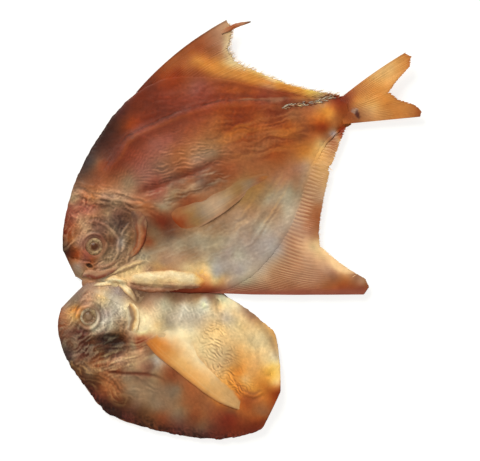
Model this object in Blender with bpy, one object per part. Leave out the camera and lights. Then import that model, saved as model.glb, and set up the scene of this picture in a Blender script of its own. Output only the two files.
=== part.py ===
"""A dried pomfret, split down the back, opened like a book and dried skin side up.

One half keeps the backbone, the tail and the fins. The other half is a fillet flap with its own half
of the head. The two are joined along the belly, from the throat to the vent, and that join is the
line y = 0 here. The fish is one piece, so its forms are modelled one by one and fused into one solid.

Plan positions are in millimetres and become metres when a mesh is made. +X runs from snout to tail,
+Y from the belly join towards the finned half's back, and +Z out of the skin.
"""

import bmesh
import bpy
import numpy as np

NODE = "dried_pomfret"
METRE = 0.001

# Driving dimensions
HEAD_CROWN = 7.6
FLANK_CROWN = 6.0
PEDUNCLE_CROWN = 4.2
FLAP_HEAD_CROWN = 7.0
FLAP_CROWN = 4.6
BACK_CURL = 2.6
BELLY_CURL = 1.1
TAIL_LIFT = 2.4
CUT_CURL = 5.0
FLAP_CURL = 1.8
MARGIN = 2.4
BELLY_MARGIN = 1.9
FIN_ROOT_THICKNESS = 1.7
FIN_EDGE_THICKNESS = 0.9
FIN_ROOT_DEPTH = 5.0
RAY_RIDGE = 0.22
FLUSH = 0.2
SUNK = 1.3
GILL_LIFT = 1.25
BLADE_RIM = 0.9
BLADE_CROWN = 0.9
SPLINTER_WIDTHS = (1.6, 1.3, 0.5)
SPLINTER_HEIGHTS = (9.0, 11.4)
EYE_RADIUS = 4.7
ORBIT_RADIUS = 7.2

# The finned half's margins, from the mouth to the tail root
BACK = [
    (4.0, 25.0), (4.0, 33.5), (5.5, 46.0), (8.5, 58.0), (12.0, 68.0), (18.0, 81.0), (25.0, 93.0),
    (33.0, 105.0), (42.0, 115.5), (53.0, 124.5), (66.0, 130.5), (81.0, 132.0), (102.0, 130.5),
    (122.5, 126.0), (138.0, 122.0), (152.0, 119.0), (165.0, 118.5), (177.5, 120.0),
]
BELLY = [
    (12.0, 8.0), (20.0, 4.0), (33.0, 1.0), (49.0, -1.0), (65.0, -1.5), (82.5, -2.0), (100.0, -1.5),
    (112.0, 3.0), (123.0, 10.5), (133.5, 21.5), (142.0, 33.5), (148.5, 46.0), (154.0, 61.5),
    (159.5, 75.5), (165.5, 88.0), (173.5, 96.5), (181.5, 101.5),
]

# The flap's margins, from the mouth to the cut end
JOIN = [
    (14.0, 0.5), (21.0, 6.0), (33.0, 5.5), (49.0, 3.5), (75.5, 2.0), (96.0, 1.0), (107.5, -4.5),
    (117.5, -11.0), (127.5, -19.0), (134.5, -26.0), (137.0, -37.0), (138.0, -49.5), (138.0, -61.5),
]
FLAP_BACK = [
    (3.0, -11.0), (1.0, -19.5), (1.5, -28.0), (4.0, -37.0), (8.5, -47.0), (16.0, -57.5),
    (24.0, -69.0), (32.0, -76.5), (43.5, -81.5), (59.5, -86.0), (75.0, -89.5), (98.5, -92.0),
    (112.0, -90.0), (125.0, -86.0), (129.5, -79.5),
]

# Each fin runs from its base on the body to its free edge. Points with one rank are on one ray.
DORSAL_BASE = [
    (53.0, 124.5), (62.0, 129.5), (71.0, 131.5), (81.0, 132.0), (93.0, 131.5), (110.5, 129.0),
    (131.5, 124.0), (152.0, 119.0), (174.0, 118.5),
]
DORSAL_EDGE = [
    (105.0, 165.5), (109.0, 161.5), (108.0, 155.0), (106.5, 148.0), (111.0, 140.5), (124.0, 134.5),
    (143.0, 126.5), (160.0, 122.5), (177.0, 120.5),
]
ANAL_BASE = [
    (100.0, -1.5), (110.5, 3.0), (121.0, 9.5), (131.5, 19.5), (140.0, 30.5), (147.5, 43.0),
    (153.5, 59.0), (159.0, 73.0), (164.5, 86.0), (172.0, 95.0),
]
ANAL_EDGE = [
    (193.5, 0.5), (191.0, 6.0), (182.0, 11.5), (171.5, 19.0), (162.0, 27.0), (162.0, 39.0),
    (164.5, 53.0), (168.0, 68.5), (172.5, 83.0), (178.5, 98.0),
]
TAIL_BASE = [(177.0, 119.5), (178.6, 115.0), (179.6, 111.0), (180.4, 107.0), (181.0, 102.5)]
TAIL_EDGE = [
    (214.0, 145.5), (218.5, 143.5), (217.0, 137.0), (209.5, 128.5), (205.0, 122.0), (210.5, 117.0),
    (220.0, 114.0), (225.0, 110.5), (224.0, 106.5),
]
BROKEN_RAY = [(102.0, 158.0), (110.0, 161.5), (119.5, 164.0)]

# The pectoral fins lie back along the flanks, each between a front and a rear edge.
PECTORAL_FRONT = [(57.5, 49.5), (75.5, 56.5), (96.5, 63.5), (117.5, 69.5), (134.0, 71.5)]
PECTORAL_REAR = [(65.5, 32.5), (83.0, 36.0), (101.0, 44.5), (118.0, 57.0), (132.5, 68.5)]
FLAP_PECTORAL_FRONT = [(66.0, -24.0), (79.0, -29.5), (92.0, -42.0), (103.0, -57.0), (115.5, -69.5)]
FLAP_PECTORAL_REAR = [(53.0, -31.0), (68.0, -47.5), (81.5, -57.5), (96.0, -66.0), (113.5, -74.0)]

# Gill covers: the line where each lifts off the cheek, and its free rim
CHEEK = [(35.0, 53.0), (43.5, 44.0), (45.5, 33.0), (43.0, 22.5), (34.0, 14.5)]
GILL_RIM = [(49.5, 54.5), (56.5, 43.0), (56.0, 29.5), (49.5, 18.0), (38.0, 9.5)]
FLAP_CHEEK = [(33.5, -4.0), (40.0, -9.5), (42.0, -17.0), (40.0, -26.0)]
FLAP_GILL_RIM = [(42.0, 0.5), (49.0, -7.0), (51.0, -17.0), (49.0, -29.0)]

EYE = (24.0, 27.0)
FLAP_EYE = (20.5, -16.0)
JAW = [(11.0, 8.0), (21.0, 11.5), (33.0, 15.0), (45.0, 18.0)]
FLAP_JAW = [(14.5, -1.5), (21.5, -2.5), (30.0, -1.0), (41.0, -1.0)]
BELLY_FOLD = [(36.0, 8.0), (48.0, 5.5), (62.0, 6.0), (78.0, 7.5), (92.0, 5.5), (99.0, 2.0)]
THROAT_FOLD = [(28.0, 3.0), (42.0, 1.5), (52.0, -3.5), (58.0, -9.0)]
KEEL = [(146.0, 115.0), (156.0, 114.5), (166.0, 116.5), (176.0, 118.0)]

SKIN = ("skin", (0.30, 0.09, 0.045, 1.0), 0.42)
FIN = ("fin", (0.66, 0.29, 0.08, 1.0), 0.45)
BONE = ("bone", (0.62, 0.50, 0.30, 1.0), 0.5)
EYEBALL = ("eye", (0.22, 0.15, 0.07, 1.0), 0.2)


def smoothstep(low, high, x):
    """0 below low, 1 above high, and an S-curve between."""
    t = np.clip((x - low) / (high - low), 0.0, 1.0)
    return t * t * (3.0 - 2.0 * t)


def along(points, shares):
    """Points at these shares, 0 to 1, of the length of a Catmull-Rom curve through the given points."""
    knots = np.array(points, float)
    padded = np.vstack([2 * knots[0] - knots[1], knots, 2 * knots[-1] - knots[-2]])
    t = np.linspace(0.0, 1.0, 24, endpoint=False)[:, None]
    spans = []
    for a, b, c, d in zip(padded, padded[1:], padded[2:], padded[3:]):
        linear = (c - a) * t
        square = (2 * a - 5 * b + 4 * c - d) * t**2
        cube = (3 * b - a - 3 * c + d) * t**3
        spans.append(b + 0.5 * (linear + square + cube))
    curve = np.vstack([*spans, knots[-1:]])
    steps = np.linalg.norm(np.diff(curve, axis=0), axis=1)
    walked = np.concatenate([[0.0], np.cumsum(steps)]) / steps.sum()
    return np.column_stack([np.interp(shares, walked, curve[:, i]) for i in range(curve.shape[1])])


def by_rank(points, shares):
    """Points at these shares, where each given point has an equal share, whatever the distances."""
    knots = np.array(points, float)
    ranks = np.linspace(0.0, 1.0, len(knots))
    return np.column_stack([np.interp(shares, ranks, knots[:, i]) for i in range(2)])


def material(look):
    """The Principled material of this name, colour and roughness, made once."""
    name, colour, roughness = look
    found = bpy.data.materials.get(name)
    if found is None:
        found = bpy.data.materials.new(name)
        found.use_nodes = True
        shader = found.node_tree.nodes["Principled BSDF"]
        shader.inputs["Base Color"].default_value = colour
        shader.inputs["Roughness"].default_value = roughness
        shader.inputs["Metallic"].default_value = 0.0
    return found


def solid(name, plan, top, bottom, look):
    """A closed solid over a grid of plan positions, between a top and a bottom height at each."""
    rows, columns = top.shape
    mesh = bmesh.new()
    layers = []
    for height in (top, bottom):
        places = np.dstack([plan, height]) * METRE
        layers.append([[mesh.verts.new(place) for place in row] for row in places])
    upper, lower = layers
    for i in range(rows - 1):
        for j in range(columns - 1):
            mesh.faces.new((upper[i][j], upper[i + 1][j], upper[i + 1][j + 1], upper[i][j + 1]))
            mesh.faces.new((lower[i][j], lower[i][j + 1], lower[i + 1][j + 1], lower[i + 1][j]))
    border = [(i, 0) for i in range(rows)]
    border += [(rows - 1, j) for j in range(1, columns)]
    border += [(i, columns - 1) for i in range(rows - 2, -1, -1)]
    border += [(0, j) for j in range(columns - 2, 0, -1)]
    for (i, j), (k, m) in zip(border, border[1:] + border[:1]):
        mesh.faces.new((upper[i][j], lower[i][j], lower[k][m], upper[k][m]))
    bmesh.ops.recalc_face_normals(mesh, faces=mesh.faces)
    return finished(name, mesh, look)


def finished(name, mesh, look):
    """An object made from the bmesh, with its material."""
    data = bpy.data.meshes.new(name)
    mesh.to_mesh(data)
    mesh.free()
    data.materials.append(material(look))
    made = bpy.data.objects.new(name, data)
    bpy.context.scene.collection.objects.link(made)
    return made


def between(one, other, rows, columns, head_dense=1.0):
    """The grid of plan positions between two margins, with the shares along and across."""
    shares = np.linspace(0.0, 1.0, rows) ** head_dense
    across = np.linspace(0.0, 1.0, columns)
    a = along(one, shares)[:, None, :]
    b = along(other, shares)[:, None, :]
    v = across[None, :, None]
    return a * (1 - v) + b * v, shares[:, None], across[None, :]


def height_on(surface, x, y):
    """The height of a surface at plan positions, from its three nearest points."""
    plan, top = surface
    apart = np.hypot(plan[..., 0].ravel() - x[..., None], plan[..., 1].ravel() - y[..., None])
    nearest = np.argpartition(apart, 3, axis=-1)[..., :3]
    weight = 1.0 / (np.take_along_axis(apart, nearest, axis=-1) + 0.05) ** 2
    return (top.ravel()[nearest] * weight).sum(-1) / weight.sum(-1)


def finned_half():
    """The half with the backbone: thick at the head, full along the flank, thin at the belly."""
    plan, u, v = between(BACK, BELLY, 50, 24, head_dense=1.3)
    head = smoothstep(-0.06, 0.14, u) * (1 - smoothstep(0.16, 0.42, u))
    flank = smoothstep(0.12, 0.4, u) * (1 - smoothstep(0.6, 0.98, u))
    crown = HEAD_CROWN * head + FLANK_CROWN * flank + PEDUNCLE_CROWN * smoothstep(0.62, 0.95, u)
    fullness = np.sin(np.pi * v**0.82) ** 0.62
    back_edge = np.clip(1 - v / 0.16, 0, 1) ** 2
    bottom = BACK_CURL * back_edge + BELLY_CURL * np.clip((v - 0.93) / 0.07, 0, 1)
    bottom = bottom + TAIL_LIFT * smoothstep(0.82, 1.0, u)
    edge = MARGIN * (1 - v) + BELLY_MARGIN * v
    return plan, bottom + edge + crown * fullness * (1 - 0.22 * back_edge), bottom


def fillet_flap():
    """The other half: a fillet with half a head, its cut end curling up off the table."""
    plan, u, v = between(JOIN, FLAP_BACK, 34, 20, head_dense=1.2)
    head = smoothstep(-0.08, 0.14, u) * (1 - smoothstep(0.2, 0.45, u))
    fillet = smoothstep(0.15, 0.45, u) * (1 - 0.45 * smoothstep(0.7, 1.0, u))
    crown = FLAP_HEAD_CROWN * head + FLAP_CROWN * fillet
    fullness = np.sin(np.pi * v**1.05) ** 0.6
    bottom = CUT_CURL * smoothstep(0.66, 1.0, u) ** 1.5 * (1 - 0.55 * v)
    bottom = bottom + FLAP_CURL * np.clip((v - 0.86) / 0.14, 0, 1) ** 2
    edge = BELLY_MARGIN * (1 - v) + MARGIN * v
    return plan, bottom + edge + crown * fullness, bottom


def fin(name, base, edge, rays, root_height, tip_height, bow):
    """A fin rooted inside the body: a pleated sheet from base to edge, one pleat to two rays.

    bow swings the middle of each ray sideways, most on the first ray, and tip_height is one value
    for each end of the free edge.
    """
    shares = np.linspace(0.0, 1.0, rays)
    reach = np.array([0.0, 0.12, 0.34, 0.56, 0.78, 1.0])
    start, end = by_rank(base, shares), by_rank(edge, shares)
    ray = end - start
    ray_length = np.linalg.norm(ray, axis=1, keepdims=True)
    start = start - FIN_ROOT_DEPTH * ray / ray_length
    t = reach[None, :, None]
    side = np.column_stack([-ray[:, 1], ray[:, 0]]) / ray_length
    swing = (bow * (1 - shares) ** 2)[:, None] * side
    plan = start[:, None] * (1 - t) + end[:, None] * t + swing[:, None] * 4 * t * (1 - t)
    tips = np.interp(shares, [0.0, 1.0], tip_height)[:, None]
    middle = root_height + (tips - root_height) * reach[None, :] ** 1.4
    pleat = RAY_RIDGE * np.cos(np.pi * np.arange(rays))[:, None] * smoothstep(0.05, 0.3, reach)
    half = 0.5 * (FIN_ROOT_THICKNESS + (FIN_EDGE_THICKNESS - FIN_ROOT_THICKNESS) * reach)[None, :]
    return solid(name, plan, middle + pleat + half, middle + pleat - half, FIN)


def pectoral(name, front, rear, surface):
    """A long fin lying back on the flank, a low blade with a crowned middle and a thin rim."""
    plan, u, v = between(front, rear, 13, 7)
    skin = height_on(surface, plan[..., 0], plan[..., 1])
    crown = BLADE_CROWN * np.sin(np.pi * v) * (1 - 0.5 * u) + RAY_RIDGE * np.cos(np.pi * 6 * v)
    return solid(name, plan, skin + BLADE_RIM + crown, skin - SUNK, FIN)


def gill_cover(name, cheek, rim, surface):
    """The bony plate behind the cheek, flush in front and standing proud along its free rim."""
    plan, _, v = between(cheek, rim, 12, 6)
    skin = height_on(surface, plan[..., 0], plan[..., 1])
    proud = FLUSH + GILL_LIFT * smoothstep(0.25, 0.8, v)
    return solid(name, plan, skin + proud, skin - SUNK, BONE)


def roll(name, path, widths, rise, surface, look):
    """A fold or a bone: a half-round ridge lying along a path, tapering as widths says."""
    shares = np.linspace(0.0, 1.0, 13)
    middle = along(path, shares)
    run = np.gradient(middle, axis=0)
    side = np.column_stack([-run[:, 1], run[:, 0]]) / np.linalg.norm(run, axis=1, keepdims=True)
    half = np.interp(shares, np.linspace(0, 1, len(widths)), widths)
    across = np.linspace(-1.0, 1.0, 6)
    plan = middle[:, None] + side[:, None] * half[:, None, None] * across[None, :, None]
    skin = height_on(surface, plan[..., 0], plan[..., 1])
    swell = rise * np.sqrt(np.clip(1 - across**2, 0, 1))[None, :] * (half / half.max())[:, None]
    return solid(name, plan, skin + FLUSH + swell, skin - SUNK, look)


def broken_ray():
    """The first dorsal ray's tip, a bare splinter that has come away from the fin."""
    shares = np.linspace(0.0, 1.0, 6)
    half = np.interp(shares, [0.0, 0.5, 1.0], SPLINTER_WIDTHS)
    offset = half[:, None] * np.array([-1.0, 0.0, 1.0])
    plan = along(BROKEN_RAY, shares)[:, None] + np.dstack([-0.35 * offset, 0.94 * offset])
    level = np.linspace(*SPLINTER_HEIGHTS, 6)[:, None]
    crown = RAY_RIDGE * np.array([0.0, 1.0, 0.0])
    half_thick = FIN_EDGE_THICKNESS / 2
    upper = level + half_thick + crown
    return solid("broken_ray", plan, upper, upper - FIN_EDGE_THICKNESS, BONE)


def eye(name, centre, surface):
    """An eyeball in its bony ring, turned about the eye's own axis."""
    profile = [
        (0.0, 2.3), (0.45 * EYE_RADIUS, 2.0), (0.8 * EYE_RADIUS, 1.2), (EYE_RADIUS, 0.35),
        (0.83 * ORBIT_RADIUS, 1.0), (0.93 * ORBIT_RADIUS, 0.9), (ORBIT_RADIUS, -0.3),
        (0.9 * ORBIT_RADIUS, -SUNK - 0.8), (0.0, -SUNK - 0.8),
    ]
    x, y = centre
    level = float(height_on(surface, np.array([x]), np.array([y]))[0])
    mesh = bmesh.new()
    rim = [mesh.verts.new((x * METRE + r * METRE, y * METRE, (level + h) * METRE)) for r, h in profile]
    edges = [mesh.edges.new(pair) for pair in zip(rim, rim[1:])]
    middle = (x * METRE, y * METRE, 0.0)
    bmesh.ops.spin(
        mesh, geom=rim + edges, cent=middle, axis=(0, 0, 1), angle=2 * np.pi, steps=14,
        use_merge=True,
    )
    bmesh.ops.remove_doubles(mesh, verts=mesh.verts, dist=1e-6)
    bmesh.ops.recalc_face_normals(mesh, faces=mesh.faces)
    return finished(name, mesh, EYEBALL)


def fused(name, body, others):
    """Joins the other solids to body with one union, and leaves one object with this name."""
    group = bpy.data.collections.new("fused forms")
    for other in others:
        group.objects.link(other)
    union = body.modifiers.new("fuse", "BOOLEAN")
    union.operation = "UNION"
    union.solver = "EXACT"
    union.operand_type = "COLLECTION"
    union.collection = group
    union.material_mode = "TRANSFER"
    bpy.context.view_layer.update()
    seen = body.evaluated_get(bpy.context.evaluated_depsgraph_get())
    whole = bpy.data.meshes.new_from_object(seen)
    body.modifiers.clear()
    body.data = whole
    body.name = name
    for other in others:
        bpy.data.objects.remove(other)
    bpy.data.collections.remove(group)
    return body


def centred(whole):
    """Moves the mesh so that the origin is at the middle of its box's underside."""
    places = np.array([vertex.co for vertex in whole.data.vertices])
    low, high = places.min(axis=0), places.max(axis=0)
    offset = np.array([(low[0] + high[0]) / 2, (low[1] + high[1]) / 2, low[2]])
    whole.data.vertices.foreach_set("co", (places - offset).astype(np.float32).ravel())
    whole.data.update()


def main():
    for old in list(bpy.data.objects):
        bpy.data.objects.remove(old)
    plan, top, bottom = finned_half()
    body = solid("finned_half", plan, top, bottom, SKIN)
    flank = (plan, top)
    plan, top, bottom = fillet_flap()
    flap_surface = (plan, top)
    others = [
        solid("fillet_flap", plan, top, bottom, SKIN),
        fin("dorsal_fin", DORSAL_BASE, DORSAL_EDGE, 31, 4.2, (9.5, 6.0), 3.4),
        fin("anal_fin", ANAL_BASE, ANAL_EDGE, 35, 2.2, (5.5, 5.5), -1.6),
        fin("tail_fin", TAIL_BASE, TAIL_EDGE, 19, 5.2, (10.5, 7.0), 1.0),
        pectoral("pectoral_fin", PECTORAL_FRONT, PECTORAL_REAR, flank),
        pectoral("flap_pectoral_fin", FLAP_PECTORAL_FRONT, FLAP_PECTORAL_REAR, flap_surface),
        gill_cover("gill_cover", CHEEK, GILL_RIM, flank),
        gill_cover("flap_gill_cover", FLAP_CHEEK, FLAP_GILL_RIM, flap_surface),
        roll("jaw", JAW, (2.2, 3.0, 3.2, 2.2), 2.6, flank, BONE),
        roll("flap_jaw", FLAP_JAW, (1.8, 2.4, 2.4, 1.6), 2.2, flap_surface, BONE),
        roll("belly_fold", BELLY_FOLD, (2.4, 3.6, 5.4, 6.0, 4.6, 2.2), 2.4, flank, BONE),
        roll("throat_fold", THROAT_FOLD, (1.6, 2.6, 2.2, 1.2), 1.8, flap_surface, BONE),
        broken_ray(),
        roll("keel", KEEL, (1.0, 1.5, 1.7, 1.2), 1.3, flank, BONE),
        eye("eye", EYE, flank),
        eye("flap_eye", FLAP_EYE, flap_surface),
    ]
    whole = fused(NODE, body, others)
    centred(whole)


main()
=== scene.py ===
# %% [markdown]
# # A dried pomfret, split and opened flat
#
# The fish was cut down the back, opened like a book with the belly as its spine, salted and dried. It
# lies skin side up. One half kept the backbone and the fins, the other is a fillet flap with its own
# half of the head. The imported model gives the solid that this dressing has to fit, so it is loaded first
# and its box is kept.

import bmesh
import bpy
import numpy as np
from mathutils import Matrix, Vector
from mathutils.kdtree import KDTree


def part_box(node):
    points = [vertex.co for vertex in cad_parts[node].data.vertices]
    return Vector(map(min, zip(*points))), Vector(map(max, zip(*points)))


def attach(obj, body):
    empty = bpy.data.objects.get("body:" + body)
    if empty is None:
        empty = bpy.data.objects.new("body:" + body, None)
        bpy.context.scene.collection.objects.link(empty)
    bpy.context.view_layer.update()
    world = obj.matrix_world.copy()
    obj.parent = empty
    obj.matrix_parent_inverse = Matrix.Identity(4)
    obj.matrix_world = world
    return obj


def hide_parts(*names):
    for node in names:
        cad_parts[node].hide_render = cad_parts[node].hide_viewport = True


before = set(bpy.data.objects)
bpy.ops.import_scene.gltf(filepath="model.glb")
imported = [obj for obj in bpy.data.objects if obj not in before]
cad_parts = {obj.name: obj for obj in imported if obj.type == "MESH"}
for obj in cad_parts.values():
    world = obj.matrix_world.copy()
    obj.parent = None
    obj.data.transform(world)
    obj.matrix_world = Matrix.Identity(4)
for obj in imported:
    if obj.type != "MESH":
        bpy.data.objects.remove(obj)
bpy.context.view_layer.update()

NODE = "dried_pomfret"
MM = 0.001
low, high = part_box(NODE)
SNOUT_X, DORSAL_TIP_Y = 1, 165.5
SHIFT = np.array([low.x / MM - SNOUT_X, high.y / MM - DORSAL_TIP_Y, low.z / MM])
CEILING = (high.z - low.z) / MM - 0.05
print("the drawing moves by", SHIFT.round(2), "mm, and nothing stands higher than", round(CEILING, 2))

# %% [markdown]
# ## The drawing
#
# Every form is drawn in plan, in millimetres: x from snout to tail, y from the belly join towards the
# back, and z up out of the skin. The margins are curves through a few points, the same as those of the
# solid. A Catmull-Rom curve passes through its points, which suits an outline that is measured on a fish.
# A Bezier curve would do as well, with handles to keep in order.

# %% Margins and paths
BACK = [
    (4, 25), (4, 33.5), (5.5, 46), (8.5, 58), (12, 68), (18, 81), (25, 93), (33, 105), (42, 115.5),
    (53, 124.5), (66, 130.5), (81, 132), (102, 130.5), (122.5, 126), (138, 122), (152, 119), (165, 118.5),
    (177.5, 120),
]
BELLY = [
    (12, 8), (20, 4), (33, 1), (49, -1), (65, -1.5), (82.5, -2), (100, -1.5), (112, 3), (123, 10.5),
    (133.5, 21.5), (142, 33.5), (148.5, 46), (154, 61.5), (159.5, 75.5), (165.5, 88), (173.5, 96.5),
    (181.5, 101.5),
]
JOIN = [
    (14, 0.5), (21, 6), (33, 5.5), (49, 3.5), (75.5, 2), (96, 1), (107.5, -4.5), (117.5, -11), (127.5, -19),
    (134.5, -26), (137, -37), (138, -49.5), (138, -61.5),
]
FLAP_BACK = [
    (3, -11), (1, -19.5), (1.5, -28), (4, -37), (8.5, -47), (16, -57.5), (24, -69), (32, -76.5),
    (43.5, -81.5), (59.5, -86), (75, -89.5), (98.5, -92), (112, -90), (125, -86), (129.5, -79.5),
]
DORSAL_BASE = [
    (53, 124.5), (62, 129.5), (71, 131.5), (81, 132), (93, 131.5), (110.5, 129), (131.5, 124), (152, 119),
    (174, 118.5),
]
DORSAL_EDGE = [
    (105, 165.5), (109, 161.5), (108, 155), (106.5, 148), (111, 140.5), (124, 134.5), (143, 126.5),
    (160, 122.5), (177, 120.5),
]
ANAL_BASE = [
    (99, -1.8), (106.5, 1), (114, 4.8), (119.6, 8.6), (123.4, 11.8), (127.2, 15.4), (132.3, 20.8),
    (137.3, 27.2), (141.7, 33.9), (145.6, 41), (149, 48.5), (151.8, 56), (154.6, 63.7), (157.5, 71.2),
    (160.6, 78.5), (164, 85.5), (167.8, 91), (173.4, 97.6),
]
ANAL_EDGE = [
    (121, -2.5), (148, -2.7), (172, -2.6), (189.2, -2.5), (192.5, 2.2), (190, 7.4), (184, 10.8),
    (173.5, 17.8), (162.5, 27), (161.9, 36), (162.8, 45), (164.2, 53), (165.8, 60.5), (167.6, 68),
    (169.6, 75.5), (172, 82.7), (175, 90.5), (178.9, 100.4),
]
TAIL_BASE = [(177, 119.5), (178.6, 115), (179.6, 111), (180.4, 107), (181, 102.5)]
TAIL_EDGE = [
    (214, 145.5), (218.5, 143.5), (217, 137), (209.5, 128.5), (205, 122), (210.5, 117), (220, 114),
    (225, 110.5), (224, 106.5),
]
EYE, FLAP_EYE = (24, 27), (20.5, -16)


def smoothstep(start, end, x):
    """0 before start, 1 after end, and the S-curve 3tt - 2ttt between."""
    t = np.clip((x - start) / (end - start), 0, 1)
    return t * t * (3 - 2 * t)


def window(x, rise, full, fading, gone):
    """0 before rise, 1 from full to fading, and 0 again past gone."""
    return smoothstep(rise, full, x) * (1 - smoothstep(fading, gone, x))


def hump(x, width):
    """A bell, 1 at x = 0 and nearly nothing past twice the width: e to the minus (x / width) squared."""
    return np.exp(-((x / width) ** 2))


SPAN_STEPS, PLACES_AT_ONCE = 24, 20000


def along(points, shares):
    """Places at these shares, 0 to 1, of the length of a Catmull-Rom curve through the points."""
    knots = np.array(points, float)
    padded = np.vstack([2 * knots[0] - knots[1], knots, 2 * knots[-1] - knots[-2]])
    t = np.linspace(0, 1, SPAN_STEPS, endpoint=False)[:, None]
    spans = []
    for a, b, c, d in zip(padded, padded[1:], padded[2:], padded[3:]):
        square = (2 * a - 5 * b + 4 * c - d) * t**2
        cube = (3 * b - a - 3 * c + d) * t**3
        spans.append(b + 0.5 * ((c - a) * t + square + cube))
    curve = np.vstack([*spans, knots[-1:]])
    steps = np.linalg.norm(np.diff(curve, axis=0), axis=1)
    walked = np.concatenate([[0], np.cumsum(steps)]) / steps.sum()
    return np.column_stack([np.interp(shares, walked, curve[:, i]) for i in range(2)])


def evenly(values, shares):
    """Numbers that are given at even shares from 0 to 1, read at any shares."""
    return np.interp(shares, np.linspace(0, 1, np.size(values)), np.atleast_1d(values))


def by_rank(points, shares):
    """Places at these shares, where each given point has an equal share, whatever the distances."""
    return np.column_stack([evenly(axis, shares) for axis in zip(*points)])


def from_path(x, y, path, samples=91):
    """Each place's distance from a curve, plus on the curve's left, and the share of its length there.

    The nearest of the samples gives a tangent. The distance is measured square to that tangent, and past
    an end it is the straight distance to it.
    """
    curve = along(path, np.linspace(0, 1, samples))
    run = np.gradient(curve, axis=0)
    step = np.linalg.norm(run, axis=1)
    run = run / step[:, None]
    places = np.column_stack([np.ravel(x), np.ravel(y)])
    nearest = np.concatenate([
        np.argmin(((part[:, None] - curve[None]) ** 2).sum(-1), axis=1)
        for part in np.array_split(places, max(1, len(places) // PLACES_AT_ONCE))
    ])
    gap = places - curve[nearest]
    tangent = run[nearest]
    square = tangent[:, 0] * gap[:, 1] - tangent[:, 1] * gap[:, 0]
    ahead = (gap * tangent).sum(-1)
    past = np.maximum(np.abs(ahead) - 0.6 * step[nearest], 0)
    distance = np.where(square < 0, -1, 1) * np.hypot(square, past)
    share = (nearest + ahead / step[nearest]) / (samples - 1)
    return distance.reshape(np.shape(x)), share.reshape(np.shape(x))


# %% [markdown]
# ## Chance
#
# Drying wrinkles skin without a pattern that repeats, yet the same script has to give the same fish. A
# small table of random numbers, drawn once from a fixed seed, is read with smooth blending, so each
# place has its own number and neighbours agree. Layers of it at halving sizes look like leather.

# %% Smooth random fields
SEED, SIDE = 23, 128
LATTICE = np.random.default_rng(SEED).uniform(-1, 1, (SIDE, SIDE))


def noise(x, y, size, layer=0):
    """A smooth random field from -1 to 1 with bumps of this size.

    Random values at the corners of a turned lattice are blended by the weight www(6ww - 15w + 10).
    """
    turn = 0.6 + 1.1 * layer
    p = (x * np.cos(turn) + y * np.sin(turn)) / size + 37.3 * layer
    q = (y * np.cos(turn) - x * np.sin(turn)) / size + 11.9 * layer
    i, j = np.floor(p).astype(int), np.floor(q).astype(int)
    s, t = p - i, q - j
    s = s * s * s * (6 * s * s - 15 * s + 10)
    t = t * t * t * (6 * t * t - 15 * t + 10)
    i, j, k, m = i % SIDE, j % SIDE, (i + 1) % SIDE, (j + 1) % SIDE
    near = LATTICE[i, j] * (1 - t) + LATTICE[i, m] * t
    far = LATTICE[k, j] * (1 - t) + LATTICE[k, m] * t
    return near * (1 - s) + far * s


def rough(x, y, size, octaves=4, layer=0):
    """Noise at size, a half of it, a quarter of it and so on, each layer half as strong as the last."""
    return sum(noise(x, y, size / 2**n, layer + n) / 2**n for n in range(octaves)) / 1.6


def crumple(x, y, size, octaves=3, layer=0):
    """Leather that was folded: sharp crests with round valleys, (1 - 2|noise|) at halving sizes."""
    return sum((1 - 2 * np.abs(noise(x, y, size / 2**n, layer + n))) / 2**n for n in range(octaves)) / 1.75


def combed(x, y, angle, length, width, layer=0):
    """Fine wavy strands that run at an angle in degrees, each of this length and width in mm."""
    turn = np.radians(angle)
    run, side = x * np.cos(turn) + y * np.sin(turn), y * np.cos(turn) - x * np.sin(turn)
    side = side + 1.1 * width * noise(x, y, 5 * width, layer + 4)
    side = side + 0.3 * width * noise(x, y, 1.7 * width, layer + 5)
    broken = 0.65 + 0.5 * noise(x, y, 4 * width, layer + 6)
    return noise(run / length * width, side, width, layer) * broken


# %% [markdown]
# ## Colour by place
#
# Dried skin has no two places alike: soot along the back, brick and mauve on the flank, silver on the
# belly, gold where a fin starts. Colours are laid the way a model painter does it: named paints are
# put down at stations and blended between them, which here is an interpolation with radial functions. A
# mean weighted by distance is simpler, but it leaves a flat spot round each station. The places are
# shaken first by noise, so that one colour runs into the next along a broken line.
#
# The paints are named as the eye should see them. Light from the room lies over every surface as a thin
# veil and makes its darks paler, so the stored colours are deeper than that: a power of the seen one.

# %% Paints
PAINTS = {
    "pitch": (0.045, 0.020, 0.012), "soot": (0.070, 0.026, 0.020), "ash": (0.105, 0.066, 0.058),
    "plum": (0.135, 0.042, 0.033), "walnut": (0.145, 0.060, 0.028), "oxblood": (0.215, 0.050, 0.020),
    "umber": (0.225, 0.122, 0.080), "maroon": (0.280, 0.066, 0.032), "taupe": (0.285, 0.160, 0.115),
    "moss": (0.250, 0.158, 0.096), "cocoa": (0.305, 0.114, 0.052), "rust": (0.335, 0.082, 0.018),
    "mauve": (0.350, 0.134, 0.096), "olive": (0.330, 0.225, 0.152), "khaki": (0.380, 0.264, 0.175),
    "copper": (0.400, 0.175, 0.080), "brick": (0.410, 0.138, 0.044), "lilac": (0.468, 0.396, 0.360),
    "silver": (0.440, 0.368, 0.276), "clay": (0.455, 0.254, 0.162), "ember": (0.480, 0.160, 0.040),
    "rose": (0.515, 0.315, 0.210), "sand": (0.495, 0.335, 0.226), "orange": (0.530, 0.205, 0.060),
    "pearl": (0.570, 0.500, 0.410), "amber": (0.590, 0.270, 0.076), "tan": (0.600, 0.395, 0.205),
    "gold": (0.690, 0.335, 0.092), "honey": (0.755, 0.485, 0.225), "bone": (0.755, 0.590, 0.360),
    "ochre": (0.400, 0.245, 0.115), "shell": (0.680, 0.450, 0.300),
    "peach": (0.940, 0.690, 0.440), "yellow": (0.850, 0.560, 0.165), "cream": (0.890, 0.780, 0.560),
}
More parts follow.
